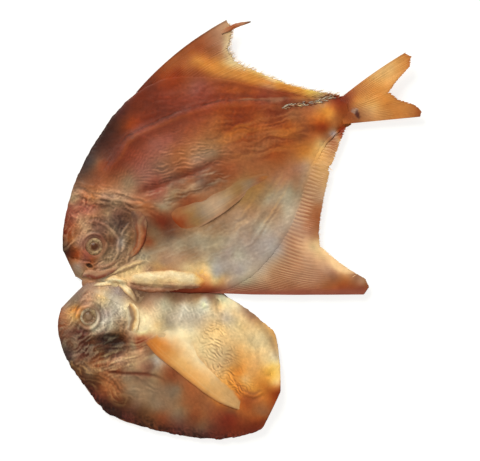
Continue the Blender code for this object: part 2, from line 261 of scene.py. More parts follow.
DEEPER, STRONGER = 1.34, 1.03
PAINTS = {name: np.minimum(STRONGER * np.array(value) ** DEEPER, 0.97) for name, value in PAINTS.items()}


def laid(x, y, stations, soft=3):
    """The colour at each place, blended between stations: a paint's name, then the places that keep it.

    The logarithm of the colour is a sum over the stations of weight * sqrt(d^2 + soft^2), d being the
    distance, plus a constant. The weights solve the equations that say it is right at each station.
    """
    at = np.array([place for _, *places in stations for place in places], float)
    wanted = np.log([PAINTS[name] for name, *places in stations for _ in places])
    level = wanted.mean(axis=0)
    apart = np.hypot(at[:, None, 0] - at[None, :, 0], at[:, None, 1] - at[None, :, 1])
    weights = np.linalg.solve(np.hypot(apart, soft), wanted - level)
    shaken_x = x + 1.6 * rough(x, y, 9, 4, 2)
    shaken_y = y + 1.6 * rough(x, y, 9, 4, 5)
    total = np.zeros(np.shape(x) + (3,)) + level
    for place, weight in zip(at, weights):
        distance = np.sqrt((shaken_x - place[0]) ** 2 + (shaken_y - place[1]) ** 2 + soft**2)
        total += distance[..., None] * weight
    return np.exp(np.clip(total, wanted.min(axis=0), wanted.max(axis=0)))


def touch(paint, mask, name, strength=1):
    """The paint with a named one mixed in where the mask is 1."""
    share = (np.clip(mask, 0, 1) * strength)[..., None]
    return paint * (1 - share) + PAINTS[name] * share


def grained(paint, strands, pale, dark, strength):
    """The paint with one named paint along the strands' crests and another along their troughs."""
    return touch(touch(paint, 2 * strands, pale, strength), -2 * strands, dark, strength)


def ramp(t, *stops):
    """A run of named paints along t, each given as (place, name)."""
    places = [place for place, _ in stops]
    values = np.array([PAINTS[name] for _, name in stops])
    return np.stack([np.interp(t, places, values[:, i]) for i in range(3)], axis=-1)


def patch(x, y, centre, length, width, turn=0):
    """1 inside an ellipse of these half sizes, turned by degrees, and fading to 0 at half as far again."""
    angle = np.radians(turn)
    dx, dy = x - centre[0], y - centre[1]
    run = (dx * np.cos(angle) + dy * np.sin(angle)) / length
    side = (dy * np.cos(angle) - dx * np.sin(angle)) / width
    return 1 - smoothstep(0.55, 1.45, np.hypot(run, side))


print(len(PAINTS), "paints")

# %% [markdown]
# ## From a grid to a closed skin
#
# A skin is a grid of places with a height above and a height below each. Its upper side needs a point
# every half millimetre to hold the wrinkles, and its lower side, which lies on flesh, does with every
# fourth. The two are sewn together round the border, four short edges to one long one, so the piece is
# closed. A Solidify modifier would give both sides the same number of faces, twice what is needed.

# %% Meshes
def border(rows, columns):
    """The rows and columns of a grid's border places, once round."""
    down = [(i, 0) for i in range(rows - 1)]
    right = [(rows - 1, j) for j in range(columns - 1)]
    up = [(i, columns - 1) for i in range(rows - 1, 0, -1)]
    left = [(0, j) for j in range(columns - 1, 0, -1)]
    return np.array(down + right + up + left)


def quads(rows, columns):
    """The corner numbers of the faces of a grid."""
    i, j = np.meshgrid(np.arange(rows - 1), np.arange(columns - 1), indexing="ij")
    first = (i * columns + j).ravel()
    return np.column_stack([first, first + columns, first + columns + 1, first + 1])


def mesh_of(name, places, faces, paint, wet, grain=None):
    """An object at the origin with these places, in drawing millimetres, and its faces turned outwards.

    paint is a colour for each place and wet is 1 where oil lies. grain is where each place lies along and
    across the fibres, in mm, which on the small pieces is its place in plan.
    """
    data = bpy.data.meshes.new(name)
    data.from_pydata((places + SHIFT) * MM, [], [list(face) for group in faces for face in group.tolist()])
    work = bmesh.new()
    work.from_mesh(data)
    bmesh.ops.recalc_face_normals(work, faces=work.faces)
    if work.calc_volume(signed=True) < 0:
        bmesh.ops.reverse_faces(work, faces=work.faces)
    open_edges = sum(not edge.is_manifold for edge in work.edges)
    work.to_mesh(data)
    work.free()
    data.polygons.foreach_set("use_smooth", np.ones(len(data.polygons), bool))
    colour = np.column_stack([np.clip(paint, 0, 1), np.ones(len(paint))])
    data.attributes.new("paint", "FLOAT_COLOR", "POINT").data.foreach_set("color", colour.ravel())
    fibres, oil = np.zeros((2, len(places), 3))
    fibres[:, :2] = places[:, :2] if grain is None else grain
    oil[:, 0] = wet
    for field, values in (("grain", fibres), ("wet", oil)):
        data.attributes.new(field, "FLOAT_VECTOR", "POINT").data.foreach_set("vector", values.ravel())
    made = bpy.data.objects.new(name, data)
    bpy.context.scene.collection.objects.link(made)
    data.calc_loop_triangles()
    print(f"{name}: {len(data.loop_triangles)} triangles, {open_edges} open edges,",
          "top", round(float(places[:, 2].max()), 2), "mm")
    return made


def shell(name, plan, top, bottom, paint, grain, wet, step=4):
    """A closed skin: a fine grid on top, every step-th place of it below, sewn round the border.

    grain is where each place lies along and across the fibres, in mm, and wet is 1 where oil lies.
    """
    rows, columns = top.shape
    coarse = np.s_[::step, ::step]
    upper = np.dstack([plan, np.minimum(top, CEILING)]).reshape(-1, 3)
    lower = np.dstack([plan[coarse], bottom[coarse]]).reshape(-1, 3)
    few_rows, few_columns = bottom[coarse].shape
    fine_ring, ring = border(rows, columns), border(few_rows, few_columns)
    fine_ring = fine_ring[:, 0] * columns + fine_ring[:, 1]
    ring = ring[:, 0] * few_columns + ring[:, 1] + len(upper)
    following = np.roll(ring, -1)
    index = np.arange(len(fine_ring))
    long_edge = index // step
    owner = np.where(index % step < step / 2, ring[long_edge], following[long_edge])
    fans = np.column_stack([np.roll(fine_ring, -1), fine_ring, owner])
    middle = fine_ring[(np.arange(len(ring)) * step + (step + 1) // 2) % len(fine_ring)]
    long_edges = np.column_stack([middle, ring, following])
    floor_faces = quads(few_rows, few_columns)[:, ::-1] + len(upper)
    faces = [quads(rows, columns), floor_faces, fans, long_edges]
    return mesh_of(
        name, np.vstack([upper, lower]), faces,
        np.vstack([paint.reshape(-1, 3), paint[coarse].reshape(-1, 3)]),
        np.concatenate([wet.ravel(), wet[coarse].ravel()]),
        np.vstack([grain.reshape(-1, 2), grain[coarse].reshape(-1, 2)]),
    )


def between(one, other, rows, columns, crowd=1, ragged=0, layer=0):
    """The plan between two margins: its places, their x and y, the share along (u) and across (v).

    crowd above 1 sets the rows closer towards the head. ragged is how many mm the margins are nibbled:
    one number, or several at even shares along.
    """
    shares = np.linspace(0, 1, rows) ** crowd
    ragged = evenly(ragged, shares)
    a, b = along(one, shares), along(other, shares)
    inward = (b - a) / np.linalg.norm(b - a, axis=1, keepdims=True)
    bite = [ragged * (0.5 + 0.5 * rough(line[:, 0], line[:, 1], 3, 3, layer)) for line in (a, b)]
    a, b = a + inward * bite[0][:, None], b - inward * bite[1][:, None]
    v = np.linspace(0, 1, columns)
    plan = a[:, None] * (1 - v[None, :, None]) + b[:, None] * v[None, :, None]
    u, v = np.meshgrid(shares, v, indexing="ij")
    return plan, plan[..., 0], plan[..., 1], u, v


def grain_of(plan):
    """How far along and across its grid each place lies, in mm, added up from step to step."""
    run = np.linalg.norm(np.diff(plan, axis=0, prepend=plan[:1]), axis=-1).cumsum(axis=0)
    side = np.linalg.norm(np.diff(plan, axis=1, prepend=plan[:, :1]), axis=-1).cumsum(axis=1)
    return np.dstack([run, side])


def hollows(height):
    """How far each place lies below its neighbours two steps away, in mm: painted shade is laid there."""
    far = np.pad(height, 2, mode="edge")
    mean = (far[:-4, 2:-2] + far[4:, 2:-2] + far[2:-2, :-4] + far[2:-2, 4:]) / 4
    return mean - height


def mottled_with_painted_shade(paint, x, y, relief, depth=0.3):
    """Dried skin's unevenness: mottled, with painted shade in the hollows of its relief and painted highlight
    on its crests.
    """
    mottle = 1 + 0.13 * rough(x, y, 6, 4, 8) + 0.07 * rough(x, y, 1.7, 2, 12)
    warm = 1 + 0.07 * rough(x, y, 8, 3, 14)
    shade = np.exp(-depth * np.clip(hollows(relief) / 0.1, -1.2, 1.6))
    tinted = paint * (mottle * shade)[..., None]
    return tinted * np.stack([warm, np.ones_like(warm), 1 / warm], axis=-1)


# %% [markdown]
# ## Node maths as Python
#
# A material is a graph of nodes. Written by hand, each Math node takes four lines, and the formula is
# lost among them. Here a small class holds a socket and lets Python's own operators add the nodes, so
# that the shading reads like the formula it is.

# %% Sockets
class Wire:
    """An output socket in a node tree, with the sums and products that materials need."""

    def __init__(self, tree, socket):
        self.tree, self.socket = tree, socket

    def node(self, kind, settings=None, **inputs):
        """A node of this type in the same tree: its settings first, then its inputs by name."""
        made = self.tree.nodes.new(kind)
        for name, value in (settings or {}).items():
            setattr(made, name, value)
        for name, value in inputs.items():
            found = made.inputs[int(name[1:])] if name[0] == "i" and name[1:].isdigit() else None
            found = found or made.inputs[name.replace("_", " ")]
            if isinstance(value, Wire):
                self.tree.links.new(value.socket, found)
            else:
                found.default_value = value
        return made

    def out(self, kind, output, settings=None, **inputs):
        return Wire(self.tree, self.node(kind, settings, **inputs).outputs[output])

    def maths(self, operation, other):
        return self.out("ShaderNodeMath", 0, {"operation": operation}, i0=self, i1=other)

    def __add__(self, other):
        return self.maths("ADD", other)

    def __sub__(self, other):
        return self.maths("SUBTRACT", other)

    def __mul__(self, other):
        return self.maths("MULTIPLY", other)

    def within(self, start, end):
        """0 at start and 1 at end, and held there outside."""
        return self.out("ShaderNodeMapRange", 0, {"clamp": True}, i0=self, i1=start, i2=end)

    def noise(self, scale, detail=3.0, roughness=0.55):
        """A noise texture read at this wire's coordinates."""
        return self.out("ShaderNodeTexNoise", 0, Vector=self, Scale=scale, Detail=detail,
                        Roughness=roughness)

    def stretched(self, x, y, z=1.0):
        """This wire's coordinates with each axis scaled."""
        return self.out("ShaderNodeMapping", 0, {"vector_type": "TEXTURE"}, Vector=self,
                        Scale=(1 / x, 1 / y, 1 / z))

    def tint(self, other, share, blend="MIX"):
        """This colour mixed with another by a share: blended plainly, or by another mode."""
        settings = {"data_type": "RGBA", "blend_type": blend, "clamp_result": True}
        return self.out("ShaderNodeMix", 2, settings, i0=share, i6=self, i7=other)


# %% [markdown]
# ## The finishes
#
# Skin, fin, bone, flesh and eye are one family: a broad colour that the mesh carries at each place, a
# finer unevenness that the material adds, and oil that makes it glossy in patches. So one function makes
# them all, and their numbers tell them apart. Fibres follow the piece's own grain, which the mesh carries
# too, because a pattern laid straight over the fish would ignore its curves. Pores are laid in the piece's
# own space.

# %% Materials
def finish(name, gloss, dry, fibre, pore, relief, mottle, coat=0.0):
    """A dried fish finish.

    gloss and dry are the roughness where oil lies and where it doesn't. fibre and pore are the sizes of
    the finest lines and pits in mm, relief is their depth in mm, and mottle is how much the colour varies.
    """
    made = bpy.data.materials.new(name)
    made.use_nodes = True
    tree = made.node_tree
    shader = tree.nodes["Principled BSDF"]
    paint = Wire(tree, tree.nodes.new("ShaderNodeAttribute").outputs["Color"])
    paint.socket.node.attribute_name = "paint"
    grain = paint.out("ShaderNodeAttribute", "Vector", {"attribute_name": "grain"})
    wet = paint.out("ShaderNodeAttribute", "Fac", {"attribute_name": "wet"})
    place = paint.out("ShaderNodeTexCoord", "Object")
    lines = grain.stretched(0.22 / fibre, 1 / fibre).noise(1.0, 4.0, 0.6)
    pores = place.noise(1 / (pore * MM), 3.0, 0.6)
    blotch = place.noise(1 / (4.5 * MM), 4.0, 0.65)
    uneven = (lines * 0.5 + pores * 0.3 + blotch * 0.4).within(0.38, 0.82)
    deep = paint.tint((0.66, 0.57, 0.51, 1.0), mottle, "MULTIPLY")
    light = paint.tint((1.2, 1.2, 1.15, 1.0), mottle, "MULTIPLY")
    colour = deep.tint(light, uneven)
    speck = place.noise(1 / (1.6 * MM), 2.0, 0.5).within(0.70, 0.80) * 0.3
    colour = colour.tint((0.10, 0.045, 0.025, 1.0), speck * mottle)
    tree.links.new(colour.socket, shader.inputs["Base Color"])
    oily = (wet * 0.8 + blotch * 0.5).within(0.15, 1.05)
    rough_value = oily * (gloss - dry) + dry + pores * 0.12 - 0.06
    tree.links.new(rough_value.socket, shader.inputs["Roughness"])
    if coat:
        tree.links.new((oily * coat).socket, shader.inputs["Coat Weight"])
        shader.inputs["Coat Roughness"].default_value = 0.22
    height = lines * 0.6 + pores * 0.4
    bump = paint.out("ShaderNodeBump", 0, Height=height, Strength=1.0, Distance=relief * MM)
    tree.links.new(bump.socket, shader.inputs["Normal"])
    shader.inputs["IOR"].default_value = 1.45
    shader.inputs["Specular IOR Level"].default_value = 0.14
    return made


SKIN = finish("dried skin", 0.32, 0.60, fibre=0.45, pore=0.55, relief=0.13, mottle=0.40, coat=0.12)
FIN = finish("dried fin", 0.30, 0.52, fibre=0.35, pore=0.6, relief=0.08, mottle=0.30, coat=0.10)
BONE = finish("dried bone and belly skin", 0.34, 0.56, fibre=0.6, pore=0.5, relief=0.09, mottle=0.25,
              coat=0.10)
FLESH = finish("dry cut flesh", 0.42, 0.70, fibre=0.7, pore=0.9, relief=0.30, mottle=0.50)
EYEBALL = finish("dried eye", 0.22, 0.42, fibre=0.6, pore=0.7, relief=0.06, mottle=0.30, coat=0.35)
print([m.name for m in bpy.data.materials])


def dressed(piece, material, replaces=False):
    """Gives a piece its material and its ride, and hides the solid when the piece stands for it."""
    piece.data.materials.append(material)
    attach(piece, "root")
    if replaces:
        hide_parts(NODE)
    return piece


# %% [markdown]
# ## The finned half
#
# This half kept the backbone, so it is the thick one. Its height is that of the solid: thick at the head,
# full along the flank, thin at the belly, its back edge curled up where it dried. The skin is one sheet
# over that form.

# %% The finned half's form
FINNED_ROWS, FINNED_COLUMNS, FLAP_ROWS, FLAP_COLUMNS = 381, 229, 321, 201


def finned_form(u, v):
    """The height above and below at a share u along the half and v across it, back to belly."""
    head = window(u, -0.06, 0.14, 0.16, 0.42)
    flank = window(u, 0.12, 0.4, 0.6, 0.98)
    crown = 7.6 * head + 6 * flank + 4.2 * smoothstep(0.62, 0.95, u)
    fullness = np.sin(np.pi * np.clip(v, 0, 1) ** 0.82).clip(0) ** 0.62
    back_edge = np.clip(1 - v / 0.16, 0, 1) ** 2
    bottom = 2.6 * back_edge + 1.1 * np.clip((v - 0.93) / 0.07, 0, 1) + 2.4 * smoothstep(0.82, 1, u)
    edge = 2.4 * (1 - v) + 1.9 * v
    return bottom + edge + crown * fullness * (1 - 0.22 * back_edge), bottom


def flap_form(u, v):
    """The same for the fillet flap, from the join to its own back edge."""
    head = window(u, -0.08, 0.14, 0.2, 0.45)
    fillet = smoothstep(0.15, 0.45, u) * (1 - 0.45 * smoothstep(0.7, 1, u))
    crown = 7 * head + 4.6 * fillet
    fullness = np.sin(np.pi * np.clip(v, 0, 1) ** 1.05).clip(0) ** 0.6
    bottom = 5 * smoothstep(0.66, 1, u) ** 1.5 * (1 - 0.55 * v)
    bottom = bottom + 1.8 * np.clip((v - 0.86) / 0.14, 0, 1) ** 2
    edge = 1.9 * (1 - v) + 2.4 * v
    return bottom + edge + crown * fullness, bottom


class Half:
    """How high one half's skin lies, kept on a square grid so that it can be read anywhere."""

    CELL, NEAR = 1, 24

    def __init__(self, plan, height):
        places = plan.reshape(-1, 2)
        tree = KDTree(len(places))
        for number, (x, y) in enumerate(places):
            tree.insert((x, y, 0), number)
        tree.balance()
        self.low = places.min(axis=0) - 3
        rows, columns = (np.ceil((places.max(axis=0) + 3 - self.low) / self.CELL) + 1).astype(int)
        flat, self.height = height.ravel(), np.empty((rows, columns))
        for i, j in np.ndindex(rows, columns):
            found = tree.find_n((self.low[0] + i * self.CELL, self.low[1] + j * self.CELL, 0), self.NEAR)
            self.height[i, j] = flat[[number for _, number, _ in found]].mean()

    def at(self, x, y):
        """The height at places, blended between the grid's four corners round each."""
        rows, columns = self.height.shape
        p = np.clip((x - self.low[0]) / self.CELL, 0, rows - 1.001)
        q = np.clip((y - self.low[1]) / self.CELL, 0, columns - 1.001)
        i, j = p.astype(int), q.astype(int)
        s, t = p - i, q - j
        near = self.height[i, j] * (1 - t) + self.height[i, j + 1] * t
        far = self.height[i + 1, j] * (1 - t) + self.height[i + 1, j + 1] * t
        return near * (1 - s) + far * s


# %% [markdown]
# ### Its wrinkles
#
# What the skin does as it dries depends on what lies under it. Over the shoulder it creeps in fine rings
# that follow the arch of the lateral line, behind them it crawls in short wavy threads, and it sinks into
# a long groove over the ribs. On the skull it clings to the bones: the rings of the orbit, the arcs of the
# cheek and the ridge of the nape. Each is a height added at each plan place.

# %% The finned half's relief
ARCH = [
    (26.5, 69.5), (37, 82.5), (45, 94.5), (66.5, 105), (85.5, 112), (105.5, 116), (138.5, 115),
    (159.5, 112.5),
]
SEAM = [(80, 135.5), (90, 133.5), (100, 131), (115, 128.8), (130, 124.9), (145, 122), (156, 119.5)]
NAPE = [(12, 61.5), (23, 57.5), (40.5, 55.5), (55.5, 51)]
RIB_GROOVE = [(46, 57.5), (58, 62.5), (72, 67.5), (86, 73.5), (99, 78.5), (110, 82)]
LOWER_GROOVE = [(64, 52.5), (76, 57), (92, 63.5), (106, 70)]
MOUTH = [(5, 23), (10, 20), (17, 18.5), (23, 17)]
PLATE_EDGE = [
    (96, 4), (108, 5), (119, 9.5), (129, 19), (137.5, 31), (144.5, 43.5), (150, 58), (154.5, 72), (160, 85),
]


def crawled(x, y, angle, pitch, curl, layer=0):
    """Short curly lines at this angle, as far apart as the pitch: 1 on a line and 0 between."""
    turn = np.radians(angle)
    side = y * np.cos(turn) - x * np.sin(turn)
    side = side + curl * noise(x, y, 4.5, layer) + 3 * noise(x, y, 13, layer + 3)
    broken = 0.35 + 0.95 * noise(x * 0.7, y * 0.9, 3, layer + 6)
    return np.clip(np.sin(2 * np.pi * side / pitch), 0, 1) * np.clip(broken, 0, 1)


def crawling(x, y):
    """The dashes that the skin crawled into behind the shoulder and under the dome."""
    where = patch(x, y, (82, 80), 25, 10, 12) + 0.5 * patch(x, y, (60, 68), 14, 6, 20)
    return where * (0.6 * crawled(x, y, 12, 2.3, 1, 3) + 0.5 * crawled(x, y, 4, 3.1, 1.8, 7))


def finned_relief(x, y):
    """The height that drying adds to the finned half's smooth form, in mm."""
    above, share = from_path(x, y, ARCH)
    wander = rough(x, y, 9, 3, 1)
    patchy = smoothstep(-0.3, 0.5, noise(x, y, 11, 12))
    height = 0.40 * noise(x, y, 26, 6) + 0.17 * rough(x, y, 7, 4, 3) + 0.03 * rough(x, y, 1.5, 2, 9)
    reach = window(share, 0, 0.12, 0.9, 1)
    height += reach * (0.3 * hump(above + 2.5, 3) - 0.35 * smoothstep(-2.5, 4, above))
    height -= reach * (0.05 + 0.2 * patchy) * hump(above - 0.6 + 0.9 * wander, 0.8)
    strands = combed(share * 150, above, 0, 16, 1.5, 5)
    height += 0.10 * strands * hump(above - 2.5, 4) * smoothstep(0.35, 0.6, share)
    dome = patch(x, y, (60, 83), 34, 18, 22)
    rings = np.cos(2 * np.pi * (above + 2.6 * wander + 0.6 * noise(x, y, 3, 4)) / 1.7)
    height += dome * (0.035 * rings * patchy + 1 * smoothstep(0.1, 0.9, dome))
    height += 0.26 * crawling(x, y)
    for path, depth in ((RIB_GROOVE, 0.8), (LOWER_GROOVE, 0.3)):
        off, part = from_path(x, y, path)
        ends = window(part, 0, 0.2, 0.7, 1)
        height += ends * depth * (0.5 * hump(off - 4.2, 2.6) - hump(off + 1.5 * wander, 2.4))
    ribs = patch(x, y, (78, 62), 28, 7, 18)
    height += 0.12 * ribs * combed(x, y, 18, 7, 1, 4)
    height += 0.12 * ribs * crumple(x * 0.4, y - 0.3 * x, 2.6, 2, 4)
    plate, part = from_path(x, y, PLATE_EDGE)
    height += 0.12 * hump(plate - 1.5, 2.2) * smoothstep(0, 0.15, part)
    rust = patch(x, y, (122, 100), 34, 18, 6) + 0.6 * patch(x, y, (84, 117), 34, 9, 12)
    height += 0.13 * rust * combed(x, y, 9, 13, 1.7, 9) + 0.10 * rust * crumple(x, y, 3.4, 2, 5)
    belly = patch(x, y, (122, 30), 36, 26, 40)
    height += 0.04 * belly * combed(x, y, 28, 14, 1, 2) + 0.12 * belly * combed(x, y, 56, 34, 3, 7)
    height += 0.5 * patch(x, y, (97, 24), 14, 5.5, 12)
    return height + skull_relief(x, y)


def skull_strands(x, y):
    """Strands where the skull's skin pulls: up the snout, along the nape, down the cheek and the jaw."""
    snout = patch(x, y, (12, 38), 24, 11, 70) * combed(x, y, 60, 4, 1.4, 6)
    nape = patch(x, y, (34, 55), 26, 7, -14) * combed(x, y, -16, 6, 1.3, 3)
    cheek = patch(x, y, (38, 26), 12, 16) * combed(x, y, 70, 3.6, 1.5, 2)
    jaw = patch(x, y, (32, 16), 14, 5, 20) * combed(x, y, 24, 6, 1.1, 8)
    return snout + nape + cheek + jaw


def skull_relief(x, y):
    """The bones of the finned half's head: orbit rings, cheek arcs, the nape's ridge and the mouth."""
    skull = 1 - smoothstep(48, 60, x + 0.35 * (y - 30))
    skull = skull * (1 - smoothstep(58, 70, y))
    height = skull * (0.62 * crumple(x, y, 7, 3, 1) - 0.1) + 0.30 * skull_strands(x, y)
    dx, dy = x - EYE[0], y - EYE[1]
    radius = np.hypot(dx, dy) + 0.6 * noise(x, y, 4, 7)
    turn = np.arctan2(dy, dx)
    height = height * smoothstep(5, 10.5, radius)
    behind = smoothstep(0.1, 0.9, 0.5 + 0.5 * np.cos(turn - 0.2))
    radius = radius + 1.2 * noise(x, y, 9, 2) * smoothstep(8, 12, radius)
    height += 0.5 * hump(radius - 7.4, 1) - 0.4 * hump(radius - 9, 0.9) * behind
    height += behind * (0.6 * hump(radius - 14.5, 1.2) - 0.4 * hump(radius - 16.8, 1.2))
    height -= 1.6 * (1 - smoothstep(4, 6.4, radius))
    off, part = from_path(x, y, NAPE)
    ends = window(part, -0.02, 0.1, 0.9, 1.02)
    off = off + 0.8 * noise(x, y, 5, 3)
    height += ends * (0.7 * hump(off, 1.6) - 0.3 * hump(off - 2.6, 1.2))
    off, part = from_path(x, y, MOUTH)
    height -= 0.8 * hump(off + 0.4 * noise(x, y, 3), 1) * (1 - smoothstep(0.9, 1, part))
    height -= 0.6 * patch(x, y, (43, 43.5), 4.5, 3.4, -20) + 1.4 * patch(x, y, (20.8, 15.2), 2, 1.2, -20)
    return height


# %% [markdown]
# ### Its colours
#
# The stations run from the head to the tail. Soot and plum follow the cut back, where air and oil darkened
# it, brick and mauve the shoulder, amber the root of the tail, and silver and lilac the belly plate.

# %% The finned half's colours
FINNED_STATIONS = [
    # the cut back, from the nape to the dorsal fin
    ("umber", (25, 80), (14, 66)), ("clay", (16, 59)), ("cocoa", (25, 67), (27, 76)),
    ("oxblood", (60, 124), (50, 118)), ("ash", (19, 78)), ("soot", (25, 90), (32, 101)),
    ("plum", (40, 110)),
    # the arch of the lateral line and the satin band above it
    ("maroon", (50, 98), (88, 112), (68, 119), (78, 112), (94, 118), (128, 117)),
    ("oxblood", (70, 105), (35, 79), (41, 88), (50, 94), (60, 101), (58, 111), (140, 116)),
    # the paler mauve at (84, 124) is partly the satin band's own colour and partly a painted sheen
    ("cocoa", (34, 70)), ("rust", (46, 101), (105, 121), (118, 118)), ("mauve", (84, 124)),
    # the shoulder and the flank
    ("mauve", (60, 92), (64, 66), (58, 86), (50, 76), (70, 92)), ("clay", (144, 69), (84, 78)),
    ("copper", (136, 76), (128, 88), (76, 84), (90, 96), (108, 88), (118, 80), (143, 108)),
    ("amber", (152, 85)), ("ember", (142, 101)), ("olive", (46, 66), (96, 84)), ("taupe", (64, 74)),
    ("brick", (100, 106), (125, 107), (122, 94), (136, 98), (132, 84)), ("rust", (112, 100)),
    ("cocoa", (150, 98)),
    # the root of the tail
    ("rust", (174, 97), (166, 100), (182, 97)), ("brick", (180, 106), (160, 96), (174, 108), (180, 115)),
    ("gold", (166, 111), (168, 107)), ("copper", (173, 97), (149, 115), (185, 107), (155, 116)),
    ("amber", (184, 117)), ("orange", (158, 106)), ("ember", (178, 101)), ("tan", (166, 90)),
    ("rose", (163, 117)), ("maroon", (172, 117)),
    # the skin over the ribs and beside the pectoral fin
    ("taupe", (53.5, 42.5), (75, 66), (88, 69)),
    # the cocoa at (82, 56.5) is painted shadow along the pectoral fin's upper edge
    ("cocoa", (81, 70.5), (77, 46), (82, 56.5), (58, 46), (100, 75)),
    ("copper", (80, 44), (110, 70), (124, 76), (140, 78)), ("umber", (70, 35)),
    ("khaki", (72, 61), (66, 50), (100, 38)), ("oxblood", (65, 42)),
    ("ochre", (118, 56), (112, 66), (127, 62)), ("sand", (134, 50), (84, 63), (112, 48), (122, 46)),
    ("mauve", (62, 60)), ("clay", (136, 68)), ("silver", (130, 56), (144, 62), (88, 31)),
    ("pearl", (126, 40)), ("rose", (150, 78)),
    # the belly
    ("tan", (98, 4.5), (101, 6), (63, 15)), ("bone", (96, 8.5), (80, 12), (92, 14)), ("taupe", (107, -1)),
    ("lilac", (124, 25), (106, 24), (118, 26), (120, 32), (132, 34), (126, 20), (112, 12), (134, 24)),
    ("silver", (92, 31), (102, 32), (75, 27), (100, 28), (116, 4)),
    ("sand", (78, 20), (66, 18), (58, 12), (104, 4)), ("khaki", (62, 28), (86, 22), (148, 62)),
    # the oxblood along y = 0 is painted shade in the crease under the belly fold
    ("pearl", (110, 22), (142, 48), (98, 10)), ("oxblood", (76, 0), (96, -1), (60, 0)),
    # the snout and the mouth
    ("taupe", (22, 41)), ("mauve", (21, 52), (11, 50), (8, 46), (18, 20), (18, 52)),
    ("copper", (9, 30), (11, 33), (22, 56)), ("clay", (13, 28)), ("cocoa", (21, 18)), ("oxblood", (6, 34)),
    ("soot", (6, 26)), ("rose", (14, 44), (17, 36)), ("rust", (12, 21)), ("sand", (20, 38)),
    ("khaki", (12, 55)),
    # the nape and the skull
    ("umber", (44, 45), (30, 53), (44, 48), (48, 43)), ("rose", (28, 58), (33, 60), (38, 59)),
    ("clay", (47, 54), (22, 46)), ("copper", (54, 50)), ("olive", (38, 53)), ("taupe", (28, 42), (38, 48)),
    ("khaki", (32, 47)), ("ash", (41, 41)),
    # the cheek and the gill
    ("taupe", (28, 35)), ("olive", (34, 35), (34, 24), (44, 36), (44, 23), (56, 26)),
    ("umber", (36, 30), (56, 40)), ("lilac", (40, 29)), ("moss", (45, 30), (60, 36)),
    ("khaki", (30, 19), (38, 18), (46, 18), (50, 26)), ("silver", (52, 21)), ("cocoa", (57, 31)),
    ("sand", (64, 22)),
    # the jaws and the throat
    ("clay", (13, 17), (25, 16), (24, 9), (20, 3)), ("khaki", (16, 12), (34, 10)),
    ("bone", (44, 12), (52, 14), (38, 5)), ("silver", (30, 6)), ("rose", (50, 4)), ("tan", (58, 3)),
    ("taupe", (48, 0)),
    # the dorsal fin
    ("mauve", (92, 126)), ("brick", (73, 137.5), (78, 136), (76, 139), (88, 146), (88, 136)),
    ("sand", (104, 146), (105, 157)), ("honey", (116, 134), (108, 134)), ("gold", (138, 124), (120, 130)),
    ("amber", (88, 139), (97, 136), (146, 122)), ("rust", (66, 131), (76, 134)), ("clay", (98, 156)),
    ("rose", (101, 162)), ("pearl", (107, 152)), ("copper", (96, 146)), ("bone", (133, 126), (106, 141)),
    ("yellow", (155, 121)), ("tan", (164, 121)), ("maroon", (173, 120)),
    # the anal fin
    ("copper", (170, 91), (182, 5), (162, 40), (160, 48), (191, 3)),
    ("clay", (188, 4), (160, 5), (150, 4), (157, 36), (172, 10), (184, 10)),
    ("shell", (150, 27), (156, 20), (162, 16)), ("rose", (157, 12), (146, 27), (154, 48), (150, 10)),
    ("brick", (176, 4), (168, -1)), ("peach", (174, 13.5), (170, 18), (180, 12.5)),
    ("sand", (136, 16), (128, 6), (165, 56)), ("tan", (160, 70), (167, 70), (171, 82), (174, 92)),
    ("honey", (165, 86)), ("umber", (120, -1)), ("cocoa", (146, -1)), ("maroon", (186, -1)),
    ("bone", (160, 26)),
    # the tail fin
    ("amber", (188, 121), (215, 143), (205, 113), (216, 110)),
    ("honey", (196, 130), (206, 138), (194, 112)), ("gold", (196, 120)), ("brick", (224, 108)),
]


